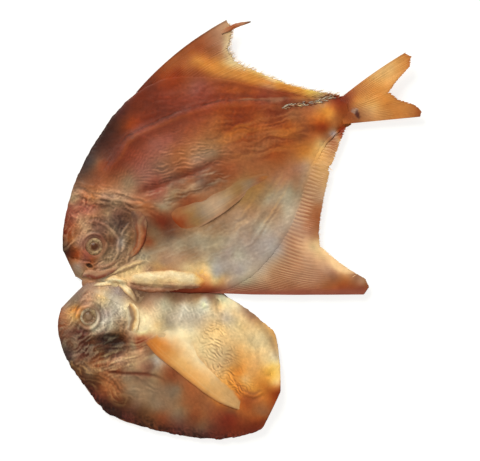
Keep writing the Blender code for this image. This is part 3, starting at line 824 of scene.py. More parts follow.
def finned_paint(x, y):
    """The finned half's colour at each plan place, on its skin and its fins alike."""
    paint = laid(x, y, FINNED_STATIONS)
    above, share = from_path(x, y, ARCH)
    wander = rough(x, y, 6, 3, 2)
    reach = window(share, 0.02, 0.15, 0.9, 1)
    paint = touch(paint, reach * hump(above - 0.5 + wander, 1.1), "oxblood", 0.6)
    paint = touch(paint, reach * hump(above + 2.6 + wander, 1.3), "brick", 0.3)
    strands = combed(share * 150, above, 0, 16, 1.5, 5)
    paint = touch(paint, hump(above - 3, 4) * smoothstep(0.35, 0.6, share) * strands, "plum", 0.7)
    paint = touch(paint, -hump(above - 2, 2.5) * smoothstep(0.45, 0.6, share) * strands, "rose", 0.7)
    # the crawled dashes in clay: partly their own tan, partly a painted highlight on their crests
    paint = touch(paint, crawling(x, y), "clay", 0.5)
    for path, width, name in ((RIB_GROOVE, 2.4, "maroon"), (LOWER_GROOVE, 1.6, "umber")):
        off, part = from_path(x, y, path)
        ends = window(part, 0, 0.15, 0.7, 1)
        paint = touch(paint, ends * hump(off + 2 * wander, width), name, 0.6)
    ribs = patch(x, y, (78, 62), 28, 7, 18)
    paint = grained(paint, ribs * combed(x, y, 18, 7, 1, 4), "silver", "cocoa", 0.35)
    plate, part = from_path(x, y, PLATE_EDGE)
    shown = window(part, 0, 0.2, 0.8, 1)
    paint = touch(paint, hump(plate - 1.6, 2) * shown, "pearl", 0.2)
    rays = patch(x, y, (124, 46), 24, 9, 56) * combed(x, y, 56, 30, 2, 5)
    paint = grained(paint, 1.2 * rays, "honey", "olive", 0.5)
    streaks = patch(x, y, (84, 28), 30, 12, 14) * combed(x, y, 24, 9, 1, 2)
    paint = grained(paint, streaks, "pearl", "olive", 0.2)
    off, part = from_path(x, y, SEAM)
    ends = 1 - smoothstep(0.88, 1, part)
    off = off / np.clip(1.25 - part, 0.4, 1.25)
    paint = touch(paint, ends * smoothstep(0.05, 0.35, part) * hump(off + 4.2, 3.6), "maroon", 0.65)
    paint = touch(paint, ends * smoothstep(-0.02, 0.2, part) * hump(off - 4.4, 3.4), "gold", 0.8)
    margin = hump(y + 2.8 + 0.6 * wander, 3.8) * smoothstep(93, 103, x)
    paint = touch(paint, margin, "mauve", 0.8)
    keel = patch(x, y, (155, 115), 17, 2.6, 12) * (0.6 + 0.8 * noise(x, y, 1.6, 3))
    paint = touch(paint, keel, "walnut", 0.55)
    flank = patch(x, y, (126, 98), 30, 16, 8)
    paint = grained(paint, flank * combed(x, y, 10, 18, 3.6, 9), "amber", "oxblood", 0.35)
    paint = grained(paint, flank * combed(x, y, 9, 13, 1.7, 9), "copper", "oxblood", 0.4)
    satin = patch(x, y, (84, 117), 34, 9, 12)
    paint = grained(paint, satin * combed(x, y, 14, 15, 1.6, 3), "mauve", "oxblood", 0.3)
    paint = grained(paint, skull_strands(x, y), "sand", "walnut", 0.28)
    # painted shade in the small hole at the corner of the mouth
    paint = touch(paint, patch(x, y, (20.8, 15.2), 2, 1.1, -20), "pitch", 0.8)
    # painted shadow: a plum arc over the top of the eye, where the orbit's rim shades it
    dx, dy = x - EYE[0], y - EYE[1]
    over = smoothstep(-0.2, 0.6, np.sin(np.arctan2(dy, dx) - 0.4))
    return touch(paint, hump(np.hypot(dx, dy) - 7, 1) * over, "plum", 0.7)


def oiliness(x, y, layer=0):
    """Where oil shines on the skin: broad pools that drift over it."""
    return np.clip(0.5 + 0.6 * rough(x, y, 16, 3, layer + 10), 0, 1)


# %% [markdown]
# ### Its skin
#
# The sheet is as thick as dried skin with the fat under it. It lies a little under the solid's own face,
# which leaves room for its wrinkles, and hangs over the flesh by a hair at its edges.

# %% The finned half's skin
SKIN_THICK, UNDER_SOLID = 0.9, 0.25


def faded_rim(u, v, ends, sides):
    """1 inside a half and 0 on its rim, where it fades over these shares of the ends and of the sides."""
    (head, tail), (near, far) = ends, sides
    across = smoothstep(0, near, v) * smoothstep(0, far, 1 - v)
    return across * smoothstep(0, head, u) * smoothstep(0, tail, 1 - u)


plan, x, y, u, v = between(BACK, BELLY, FINNED_ROWS, FINNED_COLUMNS, 1.3, ragged=0.9, layer=1)
top, _ = finned_form(u, v)
relief = finned_relief(x, y) * (0.2 + 0.8 * faded_rim(u, v, (0.03, 0.02), (0.05, 0.04)))
crust = (1 - smoothstep(0, 0.06, v)) * (1 - smoothstep(0.35, 0.5, u)) * smoothstep(0.05, 0.15, u)
relief = relief + crust * 0.15 * crumple(x, y, 2.4, 2, 8)
paint = mottled_with_painted_shade(finned_paint(x, y), x, y, relief)
skin = top + relief - UNDER_SOLID - 2.4 * smoothstep(0.955, 1, u)
FINNED = Half(plan, np.minimum(skin, CEILING))
dressed(
    shell("finned_half_skin", plan, skin, skin - SKIN_THICK, paint, grain_of(plan), oiliness(x, y)),
    SKIN, replaces=True,
)

# %% [markdown]
# ## The fillet flap
#
# The other half came off the backbone, so it is a fillet: thick at its half of the head, thinner towards
# the cut end, which curled up off the table as it dried. Its skin is golden where it dried thin, and
# crawls in short threads above the pectoral fin.

# %% The fillet flap's relief
WEDGE = [(15, -47), (26, -45.5), (38, -42.5), (48, -39), (56, -36.5)]
WEDGE_UNDER = [(30, -49), (40, -50.6), (50, -50.8), (60, -52), (70, -56)]
STRANDS = [(12, -45), (18, -49.5), (26, -53.5), (34, -58), (40, -66)]
FLAP_CHEEK_ARC = [(27, -3), (36, -7), (41, -15), (40.5, -24)]
RIM_ROLL = [(104, -9), (113, -16), (121, -24), (127.5, -35), (130.5, -46)]
BOWL = [(106, -52), (112, -60), (121, -64.5), (128, -61)]
SQUIGGLES = [(92, -24), (99, -34), (101, -45), (106, -56), (112, -64)]


def squiggles(x, y):
    """Where the skin above the flap's pectoral fin crawled, and the thin curly cracks in it."""
    off, part = from_path(x, y, SQUIGGLES)
    where = hump(off - 1, 8.5) * window(part, -0.12, 0.1, 0.98, 1.15)
    return where, np.maximum(crawled(x, y, -36, 2.1, 2.2, 5), crawled(x, y, -20, 2.7, 2.6, 9)) ** 1.4


def flap_relief(x, y):
    """The height that drying adds to the flap's smooth form, in mm."""
    wander = rough(x, y, 9, 3, 4)
    height = 0.35 * noise(x, y, 24, 3) + 0.18 * rough(x, y, 7, 4, 6) + 0.03 * rough(x, y, 1.5, 2, 9)
    where, lines = squiggles(x, y)
    height += where * (0.15 * crumple(x, y, 5, 2, 3) - 0.22 * lines)
    height += 0.15 * patch(x, y, (102, -20), 16, 8, -30) * crumple(x, y, 4.5, 2, 8)
    height += 0.30 * patch(x, y, (76, -13), 26, 7) * crumple(x, y, 7, 3, 2)
    off, part = from_path(x, y, WEDGE)
    body = window(part, 0, 0.5, 0.9, 1)
    height += 1.1 * body * hump(off + 0.4 * wander, 3.2) - 0.15 * body * hump(off + 6.6, 1.8)
    height += 0.18 * body * hump(off, 7) * combed(x, y, 14, 8, 1.2, 6)
    off, part = from_path(x, y, WEDGE_UNDER)
    height -= 0.4 * hump(off + 0.5 * wander, 1.1) * window(part, 0, 0.15, 0.7, 1)
    off, part = from_path(x, y, STRANDS)
    height += 0.22 * hump(off, 5) * combed(part * 40, off, 0, 12, 1.4, 2) * (1 - smoothstep(0.8, 1, part))
    height += 0.25 * patch(x, y, (36, -60), 8, 8) * crumple(x, y, 5, 3, 5)
    height += 0.22 * patch(x, y, (50, -58), 12, 8, -20) * combed(x, y, -12, 9, 1.8, 8)
    off, part = from_path(x, y, RIM_ROLL)
    height += 0.6 * hump(off, 2.6) * smoothstep(0, 0.3, part) - 0.35 * hump(off + 5.2 + wander, 1.8)
    off, part = from_path(x, y, BOWL)
    ends = window(part, 0, 0.2, 0.85, 1)
    height += ends * (0.25 * hump(off, 1) - 0.3 * hump(off + 1.8, 1.4))
    return height + flap_skull_relief(x, y)


def flap_skull_relief(x, y):
    """The bones of the flap's half head, and the hollow that sank in behind its cheek."""
    skull = (1 - smoothstep(40, 52, x)) * smoothstep(-62, -40, y)
    height = skull * (0.6 * crumple(x, y, 6, 4, 1) + 0.2 * combed(x, y, 40, 3.6, 1.4, 2) - 0.1)
    dx, dy = x - FLAP_EYE[0], y - FLAP_EYE[1]
    radius = np.hypot(dx, dy) + 0.5 * noise(x, y, 4, 7)
    height = height * smoothstep(5, 10.5, radius)
    height += 0.5 * hump(radius - 7, 0.9) - 0.4 * hump(radius - 8.8, 0.9) + 0.3 * hump(radius - 10.8, 1)
    height -= 1.5 * (1 - smoothstep(4, 6.4, radius))
    off, _ = from_path(x, y, FLAP_CHEEK_ARC)
    height += 0.5 * hump(off + 0.5 * noise(x, y, 5, 3), 1.4)
    height -= 1.9 * patch(x, y, (34.5, -30), 8, 3.4, -4) + 0.8 * patch(x, y, (23, -31.5), 7, 2.4, 10)
    return height


# %% [markdown]
# ### Its colours
#
# Gold where the skin dried thin and clear, silver by the hinge and on the cheek, plum and brown along the
# back edge, where the knife ran and the flesh shows through.

# %% The fillet flap's colours
FLAP_STATIONS = [
    # the snout and the jaw
    ("khaki", (8, -9)), ("clay", (4, -13)), ("cocoa", (3.5, -20)), ("tan", (9, -17)), ("amber", (12, -12)),
    ("olive", (13, -6)), ("rose", (17, -8), (20, -4)), ("sand", (24, -3)), ("bone", (29, -4)),
    ("lilac", (36, -3)), ("umber", (14, -22), (7, -30)), ("taupe", (8, -24)),
    # the cheek, and the hollow behind the eye, whose pitch, soot and walnut are painted shade
    ("khaki", (48, -33), (40, -20)), ("silver", (28, -9), (34, -22), (24, -24)),
    ("pearl", (36, -9), (40, -12), (36, -17), (28, -22)), ("cream", (44, -9)), ("lilac", (31, -14)),
    ("sand", (44, -26)), ("pitch", (34, -30)), ("walnut", (40, -29), (24, -31)), ("soot", (29, -31)),
    ("plum", (16, -27)),
    # behind the head
    ("umber", (12, -33), (17, -43), (44, -33), (41, -38)), ("ash", (6, -36), (9, -43)),
    ("plum", (16, -37)), ("walnut", (28, -37)), ("soot", (36, -35)), ("maroon", (52, -31)),
    ("bone", (53, -26)), ("khaki", (48, -36)),
    # the wedge of skin behind the head and what lies round it
    ("copper", (36, -46.5), (32, -46), (30, -52)), ("walnut", (32, -40), (14, -49)),
    ("taupe", (13, -42), (58, -47)), ("sand", (42, -45)), ("rose", (53, -45), (36, -44)),
    ("cocoa", (24, -45), (36, -49)), ("bone", (47, -41)), ("olive", (20, -49), (57, -40), (48, -48)),
    ("lilac", (61, -44)),
    # the back edge, dark and ragged
    ("plum", (16, -58), (24, -66), (44, -79), (74, -87), (94, -90)), ("soot", (32, -73)),
    ("walnut", (58, -83), (22, -55), (42, -70), (52, -76)), ("oxblood", (110, -88), (122, -84)),
    ("cocoa", (29, -62), (38, -64), (64, -78)), ("copper", (36, -58)), ("umber", (48, -71)),
    # below the pectoral fin
    ("amber", (100, -68)),
    ("olive", (41, -53), (54, -56), (64, -60), (68, -66), (62, -71), (75, -60), (76, -76)),
    ("cocoa", (85, -78), (70, -51), (108, -75)), ("brick", (126, -78), (118, -77), (118, -70)),
    ("khaki", (45, -62), (60, -50), (46, -57), (52, -64)),
    ("copper", (80, -59), (88, -64), (80, -68), (92, -74), (127, -75), (96, -70)), ("orange", (113, -70)),
    ("maroon", (106, -78)), ("umber", (90, -84)),
    # the hinge and the golden skin
    ("khaki", (88, -5), (96, -5.5)), ("olive", (80, -5)), ("moss", (72, -5), (50, -5)),
    ("cream", (58, -20), (56, -17), (77, -26), (111, -8), (135, -41)),
    ("bone", (91, -41), (63, -24), (102, -22), (130, -30), (100, -8), (63, -20), (94, -23), (110, -27),
        (100, -34), (120, -32), (114, -20), (127, -36), (126, -26)), ("taupe", (97, -1.8)),
    # the umber along y = -2 is painted shade in the crease under the belly fold
    ("umber", (64, -1.5), (78, -2), (90, -2.5), (56, 1)), ("silver", (99, -3.5), (68, -19), (66, -6)),
    ("honey", (103, -51), (135, -57), (115, -38), (125, -46), (134, -30), (116, -54), (128, -21)),
    ("orange", (116, -64)), ("pearl", (78, -8), (90, -6), (72, -16), (80, -18), (88, -16), (104, -18)),
    ("sand", (54, -8)), ("tan", (106, -44)), ("gold", (113, -50), (124, -56), (121, -62), (114, -58)),
    ("yellow", (133, -50)), ("amber", (132, -58)), ("rust", (136, -62)), ("ember", (131, -66)),
    ("rose", (120, -14)), ("brick", (118, -66)),
]


def flap_paint(x, y):
    """The flap's colour at each plan place."""
    paint = laid(x, y, FLAP_STATIONS)
    head = patch(x, y, (20, -24), 22, 22)
    paint = grained(paint, head * combed(x, y, 40, 3.6, 1.4, 2), "silver", "umber", 0.3)
    dx, dy = x - FLAP_EYE[0], y - FLAP_EYE[1]
    behind = smoothstep(0, 0.7, np.cos(np.arctan2(dy, dx) - 0.2))
    paint = touch(paint, hump(np.hypot(dx, dy) - 7.2, 0.8) * behind, "walnut", 0.6)
    wander = rough(x, y, 6, 3, 3)
    off, part = from_path(x, y, WEDGE)
    body = window(part, 0.2, 0.5, 0.95, 1.05)
    paint = touch(paint, body * hump(off + 2.6, 2.6), "rose", 0.65)
    # painted highlight: pale shell along the lit upper side of the wedge's ridge
    paint = touch(paint, body * hump(off - 0.8, 1), "shell", 0.6)
    strands = hump(off + 1, 8) * smoothstep(0.1, 0.4, part) * combed(x, y, 14, 8, 1.2, 6)
    paint = grained(paint, strands, "bone", "cocoa", 0.35)
    off, part = from_path(x, y, WEDGE_UNDER)
    under = window(part, 0, 0.15, 0.6, 1)
    paint = touch(paint, under * hump(off + 0.5 * wander, 1.3), "oxblood", 0.75)
    off, part = from_path(x, y, STRANDS)
    paint = grained(paint, combed(part * 40, off, 0, 12, 1.4, 2) * hump(off, 5), "tan", "walnut", 0.35)
    where, lines = squiggles(x, y)
    paint = touch(paint, where * lines, "copper", 0.5)
    off, part = from_path(x, y, RIM_ROLL)
    ends = window(part, 0, 0.2, 0.9, 1.05)
    paint = touch(paint, ends * hump(off, 2.6), "bone", 0.55)
    paint = touch(paint, ends * hump(off - 6, 2), "olive", 0.5)
    off, part = from_path(x, y, BOWL)
    return touch(paint, hump(off - 1.4, 1.1) * window(part, 0, 0.3, 0.85, 1), "copper", 0.4)


# %% [markdown]
# ### Its skin
#
# It is made like the other half's. The knife tore its back edge, which dried to a dark crust, so that edge
# is nibbled more deeply along its middle, where the cut ran through the thick of the back.

# %% The fillet flap's skin
RAGGED_BACK = (0.5, 0.8, 1.8, 2.2, 1.8, 1.8, 1.5, 0.8)
plan, x, y, u, v = between(JOIN, FLAP_BACK, FLAP_ROWS, FLAP_COLUMNS, 1.2, ragged=RAGGED_BACK, layer=4)
top, _ = flap_form(u, v)
relief = flap_relief(x, y) * (0.2 + 0.8 * faded_rim(u, v, (0.03, 0.03), (0.04, 0.05)))
crust = smoothstep(0.9, 1, v) * window(u, 0.2, 0.35, 0.85, 0.95)
relief = relief + crust * 0.5 * crumple(x, y, 2.4, 2, 8)
paint = touch(flap_paint(x, y), crust * smoothstep(-0.2, 0.5, noise(x, y, 3, 2)), "pitch", 0.6)
paint = mottled_with_painted_shade(paint, x, y, relief)
skin = top + relief - UNDER_SOLID
FLAP = Half(plan, np.minimum(skin, CEILING))
dressed(
    shell("flap_skin", plan, skin, skin - SKIN_THICK, paint, grain_of(plan), oiliness(x, y, 3)),
    SKIN, replaces=True,
)

# %% [markdown]
# ## The flesh
#
# Turned over, the fish shows its cut side: dry amber flesh whose muscle blocks lie in chevrons, with the
# backbone down the finned half. It rests flat on the table, so the blocks are carved up into it and
# nothing hangs below. The skin's lower side is buried in it.

# %% The cut sides
def flesh(name, one, other, rows, columns, form, crowd, spine, half):
    """The flesh under a skin, with its fine side down: chevron grooves, and a backbone along v = spine."""
    plan, x, y, u, v = between(one, other, rows, columns, crowd, ragged=1.6, layer=1)
    _, bottom = form(u, v)
    chevron = x + 14 * np.abs(v - spine) ** 0.8 + 1.5 * rough(x, y, 8, 3, 2)
    blocks = hump(np.mod(chevron, 6.5) - 3.25, 0.7)
    fibres = 0.5 + 0.5 * noise(x * 0.3, y * 1.6, 1.3, 5)
    inner = smoothstep(0, 0.06, np.minimum(v, 1 - v)) * smoothstep(0, 0.04, np.minimum(u, 1 - u))
    carved = inner * (0.55 * blocks + 0.18 * fibres + 0.35 * (0.5 + 0.5 * rough(x, y, 9, 3, 7)))
    bone = hump(v - spine, 0.022) * inner * (0.65 + 0.35 * np.cos(2 * np.pi * x / 5.2))
    carved = carved * (1 - bone)
    paint = laid(x, y, [("copper", (40, 40), (60, -40)), ("amber", (120, 60)), ("cocoa", (20, 10))])
    paint = touch(paint, blocks, "tan", 0.35)
    paint = touch(paint, bone, "bone", 0.8)
    paint = touch(paint, 1 - smoothstep(0, 0.12, v), "oxblood", 0.55)
    paint = paint * (1 + 0.25 * rough(x, y, 6, 4, 11) - 0.25 * fibres)[..., None]
    lower = bottom + carved
    lid = np.maximum(half.at(x, y) - 1.5, lower + 0.3)
    piece = shell(name, plan, -lower, -lid, paint, grain_of(plan), oiliness(x, y, 6) * 0.5)
    turned = np.array([vertex.co for vertex in piece.data.vertices])
    turned[:, 2] = 2 * SHIFT[2] * MM - turned[:, 2]
    piece.data.vertices.foreach_set("co", turned.astype(np.float32).ravel())
    piece.data.flip_normals()
    return dressed(piece, FLESH, replaces=True)


flesh("finned_half_flesh", BACK, BELLY, 193, 129, finned_form, 1.3, 0.17, FINNED)
flesh("flap_flesh", JOIN, FLAP_BACK, 161, 113, flap_form, 1.2, 1.4, FLAP)

# %% [markdown]
# ## The fins
#
# A fin is a fan of bony rays with a skin between them. The skin shrinks as it dries, so the rays stand
# out, the free edge frays between them, and light comes through it amber. Each is a sheet whose two
# parameters are the ray (s) and the way along it (t), from a root hidden in the body.

# %% Fins
ROOT_DEPTH = 5


def fin(name, base, edge, rays, roots, tips, bow, fray, ribs, painter, columns=97, stout=0.22):
    """A fin from its base to its free edge.

    Between a ray and the next the thickness follows a raised cosine, (1 + cos 2 pi rays s) / 2, as high
    as stout. bow is how far the rays sag sideways and fray how deep the edge is torn, both at even shares
    along the fin. ribs is how far, as a share of the ray, its thick root stands out.
    """
    s, t = np.meshgrid(np.linspace(0, 1, rays * 8 + 1), np.linspace(0, 1, columns) ** 0.9, indexing="ij")
    shares = s[:, 0]
    start, end = by_rank(base, shares), by_rank(edge, shares)
    ray = end - start
    length = np.linalg.norm(ray, axis=1, keepdims=True)
    start = start - ROOT_DEPTH * ray / length
    spread = s + 0.25 / rays * noise(s * 24, t * 2, 1, 3) * smoothstep(0.2, 0.6, t)
    wave = 0.5 + 0.5 * np.cos(2 * np.pi * rays * spread)
    fork = 0.5 + 0.5 * np.cos(4 * np.pi * rays * spread)
    ridge = wave + (fork - wave) * smoothstep(0.55, 0.8, t)
    fringe = evenly(fray, shares)
    tooth = 0.5 + 0.5 * noise(shares * rays * 6, shares * 0, 1, 2)
    torn = fringe * (0.25 + 0.75 * tooth) * (1 - 0.6 * ridge[:, -1]) / length[:, 0]
    gaps = np.clip(noise(shares * rays, shares * 0, 2.6, 5) - 0.25, 0, 1)
    torn = torn + fringe * 1.2 * gaps / length[:, 0]
    reach = t * (1 - np.clip(torn, 0, 0.5)[:, None])
    side = np.column_stack([-ray[:, 1], ray[:, 0]]) / length
    swing = evenly(bow, shares)[:, None] * side
    plan = start[:, None] * (1 - reach[..., None]) + end[:, None] * reach[..., None]
    plan = plan + swing[:, None] * (4 * reach * (1 - reach))[..., None]
    x, y = plan[..., 0], plan[..., 1]
    tip = evenly(tips, shares)[:, None]
    middle = roots + (tip - roots) * t**1.4
    middle = middle + (0.35 * noise(x, y, 11, 3) + 0.2 * noise(x, y, 4, 6)) * smoothstep(0.15, 0.6, t)
    strong = 1 + 0.9 * hump((t - ribs) / 0.16, 1) if ribs else 1
    thick = 0.5 * (1.7 - 0.9 * t)
    half = thick * (0.6 + stout * np.minimum(ridge**1.5 * strong, 1.7)) * (1 - 0.35 * smoothstep(0.9, 1, t))
    paint = painter(x, y, s, t, ridge)
    grain = np.dstack([t * length, s * 2 * rays])
    made = shell(name, plan, middle + half, middle - half, paint, grain, oiliness(x, y, 8), step=2)
    return dressed(made, FIN, replaces=True)


def lined(x, y, t, ridge, pale, dark, strength):
    """The finned half's own colours with paler rays and darker skin between, past the root."""
    paint = mottled_with_painted_shade(finned_paint(x, y), x, y, 0 * x)
    shown = smoothstep(0.12, 0.3, t) * strength * (0.6 + 0.4 * noise(x, y, 7, 5))
    paint = touch(paint, ridge**2 * shown, pale)
    return touch(paint, (1 - ridge) ** 2 * shown, dark)


def dorsal_paint(x, y, s, t, ridge):
    """The half's own brick and gold, with a pale frayed edge and a dark leading ray."""
    paint = lined(x, y, t, ridge, "clay", "cocoa", 0.16)
    paint = touch(paint, smoothstep(0.86, 1, t) * smoothstep(0.04, 0.2, s), "bone", 0.55)
    return touch(paint, (1 - smoothstep(0, 0.05, s)) * smoothstep(0.2, 0.5, t), "walnut", 0.5)


def anal_paint(x, y, s, t, ridge):
    """Clay, with the cream bases of its rays standing out of dark grooves, and a dark lower edge."""
    paint = lined(x, y, t, ridge, "clay", "brick", 0.22)
    end = 0.40 + 0.25 * s + 0.3 * smoothstep(0.5, 1, s)
    shown = window(t, 0.10, 0.25, end, end + 0.16)
    shown = shown * (0.7 + 0.5 * noise(x, y, 8, 4))
    paint = touch(paint, shown * ridge**2, "shell", 0.55)
    paint = touch(paint, shown * (1 - ridge) ** 1.5, "cocoa", 0.42)
    glow = smoothstep(0.80, 0.97, t) * window(s, 0.33, 0.38, 0.45, 0.51)
    paint = touch(paint, glow, "peach", 0.7)
    return touch(paint, 1 - smoothstep(-1.8, 1.6, y + 0.8 * rough(x, y, 5, 3)), "mauve", 0.8)


def tail_paint(x, y, s, t, ridge):
    """Gold, with paler rays, and a dark knob at its root."""
    paint = lined(x, y, t, ridge, "honey", "copper", 0.40)
    paint = touch(paint, smoothstep(0.93, 1, t), "brick", 0.4)
    paint = touch(paint, (1 - smoothstep(0, 0.05, s)) * smoothstep(0.3, 0.5, t), "copper", 0.4)
    shaken_x, shaken_y = x + 0.8 * rough(x, y, 2, 2), y + 0.8 * rough(x, y, 2, 2, 4)
    paint = touch(paint, patch(shaken_x, shaken_y, (183.6, 110.2), 2.2, 1.6), "lilac", 0.5)
    return touch(paint, patch(shaken_x, shaken_y, (184.9, 107.8), 1.6, 2.6, 10), "plum", 0.95)


fin("dorsal_fin", DORSAL_BASE, DORSAL_EDGE, rays=40, roots=4.2, tips=(9.5, 6), bow=(3.4, 1.9, 0.85, 0.2, 0),
    fray=(0.6, 2.4, 3, 2, 1.6, 2.2), ribs=0, painter=dorsal_paint, stout=0.12)
fin("anal_fin", ANAL_BASE, ANAL_EDGE, rays=60, roots=2.2, tips=(5.5, 5.5),
    bow=(0, -2, -4, -3.4, -1.2, -0.5, 0, 0, 0), fray=(0.3, 0.5, 1.2, 1, 1.2, 1.5), ribs=0.3,
    painter=anal_paint)
fin("tail_fin", TAIL_BASE, TAIL_EDGE, rays=26, roots=5.2, tips=(10.5, 7), bow=(1, 0.25, 0),
    fray=(1, 2.2, 1.6), ribs=0, painter=tail_paint, columns=121)

# %% [markdown]
# ### Their frayed ends
#
# Where the skin between the rays has gone, the rays' own ends stick out of the edge like hair. Each is a
# thin spike that goes on along its ray, a little off its direction.

# %% Frayed ray ends
def hairs(name, base, edge, count, lengths, start, levels, paints, seed):
    """Spikes along a fin's edge: a share of the edge for each, its ray's direction, and a tapered length.

    start is the first share that has any. Each spike is a three-sided cone that begins inside the fin,
    whose heights at its root, its first tip and its last tip are the levels.
    """
    chance = np.random.default_rng(seed)
    shares = np.sort(chance.uniform(start, 1, count))
    root, end = by_rank(base, shares), by_rank(edge, shares)
    heading = np.arctan2(*(end - root).T[::-1]) + chance.normal(0, 0.28, count)
    along_it = np.column_stack([np.cos(heading), np.sin(heading)])
    side = np.column_stack([-along_it[:, 1], along_it[:, 0]])
    length = evenly(lengths, shares) * chance.uniform(0.4, 1, count)
    ray = np.linalg.norm(end - root, axis=1)
    foot = end - 3.6 * along_it
    tip = end + length[:, None] * along_it
    level = evenly(levels[1:], shares)
    sunk = level - (level - levels[0]) * np.minimum(5 / ray, 0.8)
    thick = chance.uniform(0.12, 0.26, count)[:, None]
    flat = [foot + thick * side, foot - thick * side, foot, tip]
    heights = [sunk, sunk, sunk + 0.8 * thick[:, 0], level + chance.uniform(-0.3, 0.8, count)]
    places = np.stack([np.column_stack(pair) for pair in zip(flat, heights)], axis=1).reshape(-1, 3)
    first = 4 * np.arange(count)[:, None]
    faces = (first[:, None] + np.array([[0, 2, 1], [0, 1, 3], [1, 2, 3], [2, 0, 3]])).reshape(-1, 3)
    colours = np.repeat([PAINTS[chance.choice(paints)] for _ in shares], 4, axis=0)
    made = mesh_of(name, places, [faces], colours, wet=0.3)
    made.data.polygons.foreach_set("use_smooth", np.zeros(len(faces), bool))
    return dressed(made, FIN)


hairs("dorsal_hairs", DORSAL_BASE, DORSAL_EDGE, count=260, lengths=(0.4, 2, 3.2, 3, 3, 2.4), start=0.06,
      levels=(4.2, 9.5, 6), paints=["peach", "tan", "bone", "shell", "cream", "pearl"], seed=3)
hairs("anal_hairs", ANAL_BASE, ANAL_EDGE, count=80, lengths=(0.6, 0.8, 1.4, 1.2, 1.6), start=0.33,
      levels=(2.2, 5.5, 5.5), paints=["bone", "peach", "shell", "cream"], seed=8)

# %% [markdown]
# ## The pectoral fins
#
# Each half keeps the long fin from behind its gill. It dried lying back on the flank, a blade that is
# thick at its root and free along its lower edge, which throws the dark crease beneath it.

# %% Pectoral fins
BLADE_ROWS, BLADE_COLUMNS = 161, 57


def pectoral(name, front, rear, half, front_edge, rear_edge, crown, painter, beside, blend):
    """A blade between two edges, standing over the skin by a crown in its middle.

    front_edge and rear_edge say how far, in mm and at even shares along, its edges stand over the skin.
    Where they are negative the edge is sunk, and the fin seems to grow out of the flank. beside is the
    painter of that flank, whose own colour the root and the front edge keep over these shares of the blade.
    """
    plan, x, y, u, v = between(front, rear, BLADE_ROWS, BLADE_COLUMNS, ragged=0.25, layer=7)
    skin = half.at(x, y)
    rays = noise(u * 3, 26 * v, 1, 2)
    stands = evenly(front_edge, u), evenly(rear_edge, u)
    level = stands[0] * hump(v, 0.3) + stands[1] * hump(1 - v, 0.3)
    level = level - 1.8 * (1 - smoothstep(0, 0.16, u)) * (front_edge[0] < 0)
    level = level - 1 * smoothstep(0.93, 1, u)
    arch = crown * np.sin(np.pi * v) * smoothstep(0, 0.3, u) * (1 - 0.6 * u)
    top = skin + level + arch + 0.035 * rays * smoothstep(0.1, 0.35, u) + 0.25 * noise(x, y, 9, 4)
    foot = np.minimum(skin - 1.2 + np.maximum(stands[1], 0) * smoothstep(0.6, 1, v), top - 0.5)
    own = smoothstep(0, blend[0], u + 0.03 * rough(x, y, 7, 3))
    own = own * smoothstep(0, blend[1], v + 0.08 * rough(x, y, 6, 3, 4))
    paint = beside(x, y) * (1 - own[..., None]) + painter(u, v, rays, x, y) * own[..., None]
    paint = mottled_with_painted_shade(paint, x, y, 0 * x, 0.5)
    made = shell(name, plan, top, foot, paint, grain_of(plan), oiliness(x, y, 9), step=2)
    return dressed(made, FIN)


def pectoral_paint(u, v, rays, x, y):
    """Rusty at the root, then the flank's own khaki and gold, with a rosy rim along the free lower edge and a
    salmon hooked tip, each partly its own colour and partly a painted highlight along its edge.
    """
    shaken = u + 0.06 * rough(x, y, 8, 3)
    paint = ramp(
        shaken, (0, "oxblood"), (0.07, "oxblood"), (0.12, "rust"), (0.18, "copper"), (0.29, "ochre"),
        (0.40, "khaki"), (0.50, "sand"), (0.60, "ochre"), (0.72, "ochre"), (0.82, "khaki"),
        (0.90, "copper"), (1, "amber"),
    )
    paint = touch(paint, (1 - smoothstep(0.1, 0.5, v)) * window(u, 0.2, 0.35, 0.5, 0.75), "khaki", 0.7)
    paint = touch(paint, hump(v - 0.62, 0.25) * window(u, 0.3, 0.45, 0.55, 0.7), "pearl", 0.45)
    paint = touch(paint, smoothstep(0.55, 0.95, v) * smoothstep(0.45, 0.7, u), "clay", 0.6)
    paint = grained(paint, rays * smoothstep(0.15, 0.4, u), "tan", "taupe", 0.12)
    # the hooked tip's salmon ridge and the rosy lower rim: their own colours, lightened as a painted
    # highlight along each edge
    paint = touch(paint, hump(v - 0.06, 0.12) * smoothstep(0.74, 0.84, u), "rose", 0.9)
    return touch(paint, smoothstep(0.88, 1, v) * hump(u - 0.42, 0.22), "rose", 0.8)


def flap_pectoral_paint(u, v, rays, x, y):
    """Cream above, gold below, orange in the root's corner and tan towards the tip."""
    shaken = u + 0.05 * rough(x, y, 8, 3)
    paint = ramp(
        shaken, (0, "gold"), (0.12, "gold"), (0.3, "honey"), (0.6, "honey"), (0.85, "tan"), (1, "tan"),
    )
    upper = (1 - smoothstep(0.1, 0.7, v + 0.1 * rough(x, y, 12, 3))) * (1 - smoothstep(0.35, 0.8, u))
    paint = touch(paint, upper, "cream", 0.9)
    paint = touch(paint, smoothstep(0.6, 1, v) * (1 - smoothstep(0.6, 0.9, u)), "gold", 0.55)
    paint = touch(paint, smoothstep(0.86, 1, v), "copper", 0.6)
    paint = touch(paint, smoothstep(0.35, 0.95, v) * (1 - smoothstep(0.02, 0.30, u)), "orange", 0.6)
    patches = hump(u - 0.5, 0.12) * hump(v - 0.12, 0.14) * smoothstep(-0.1, 0.5, noise(x, y, 5, 6))
    paint = touch(paint, patches, "lilac", 0.6)
    return touch(paint, rays, "bone", 0.2)


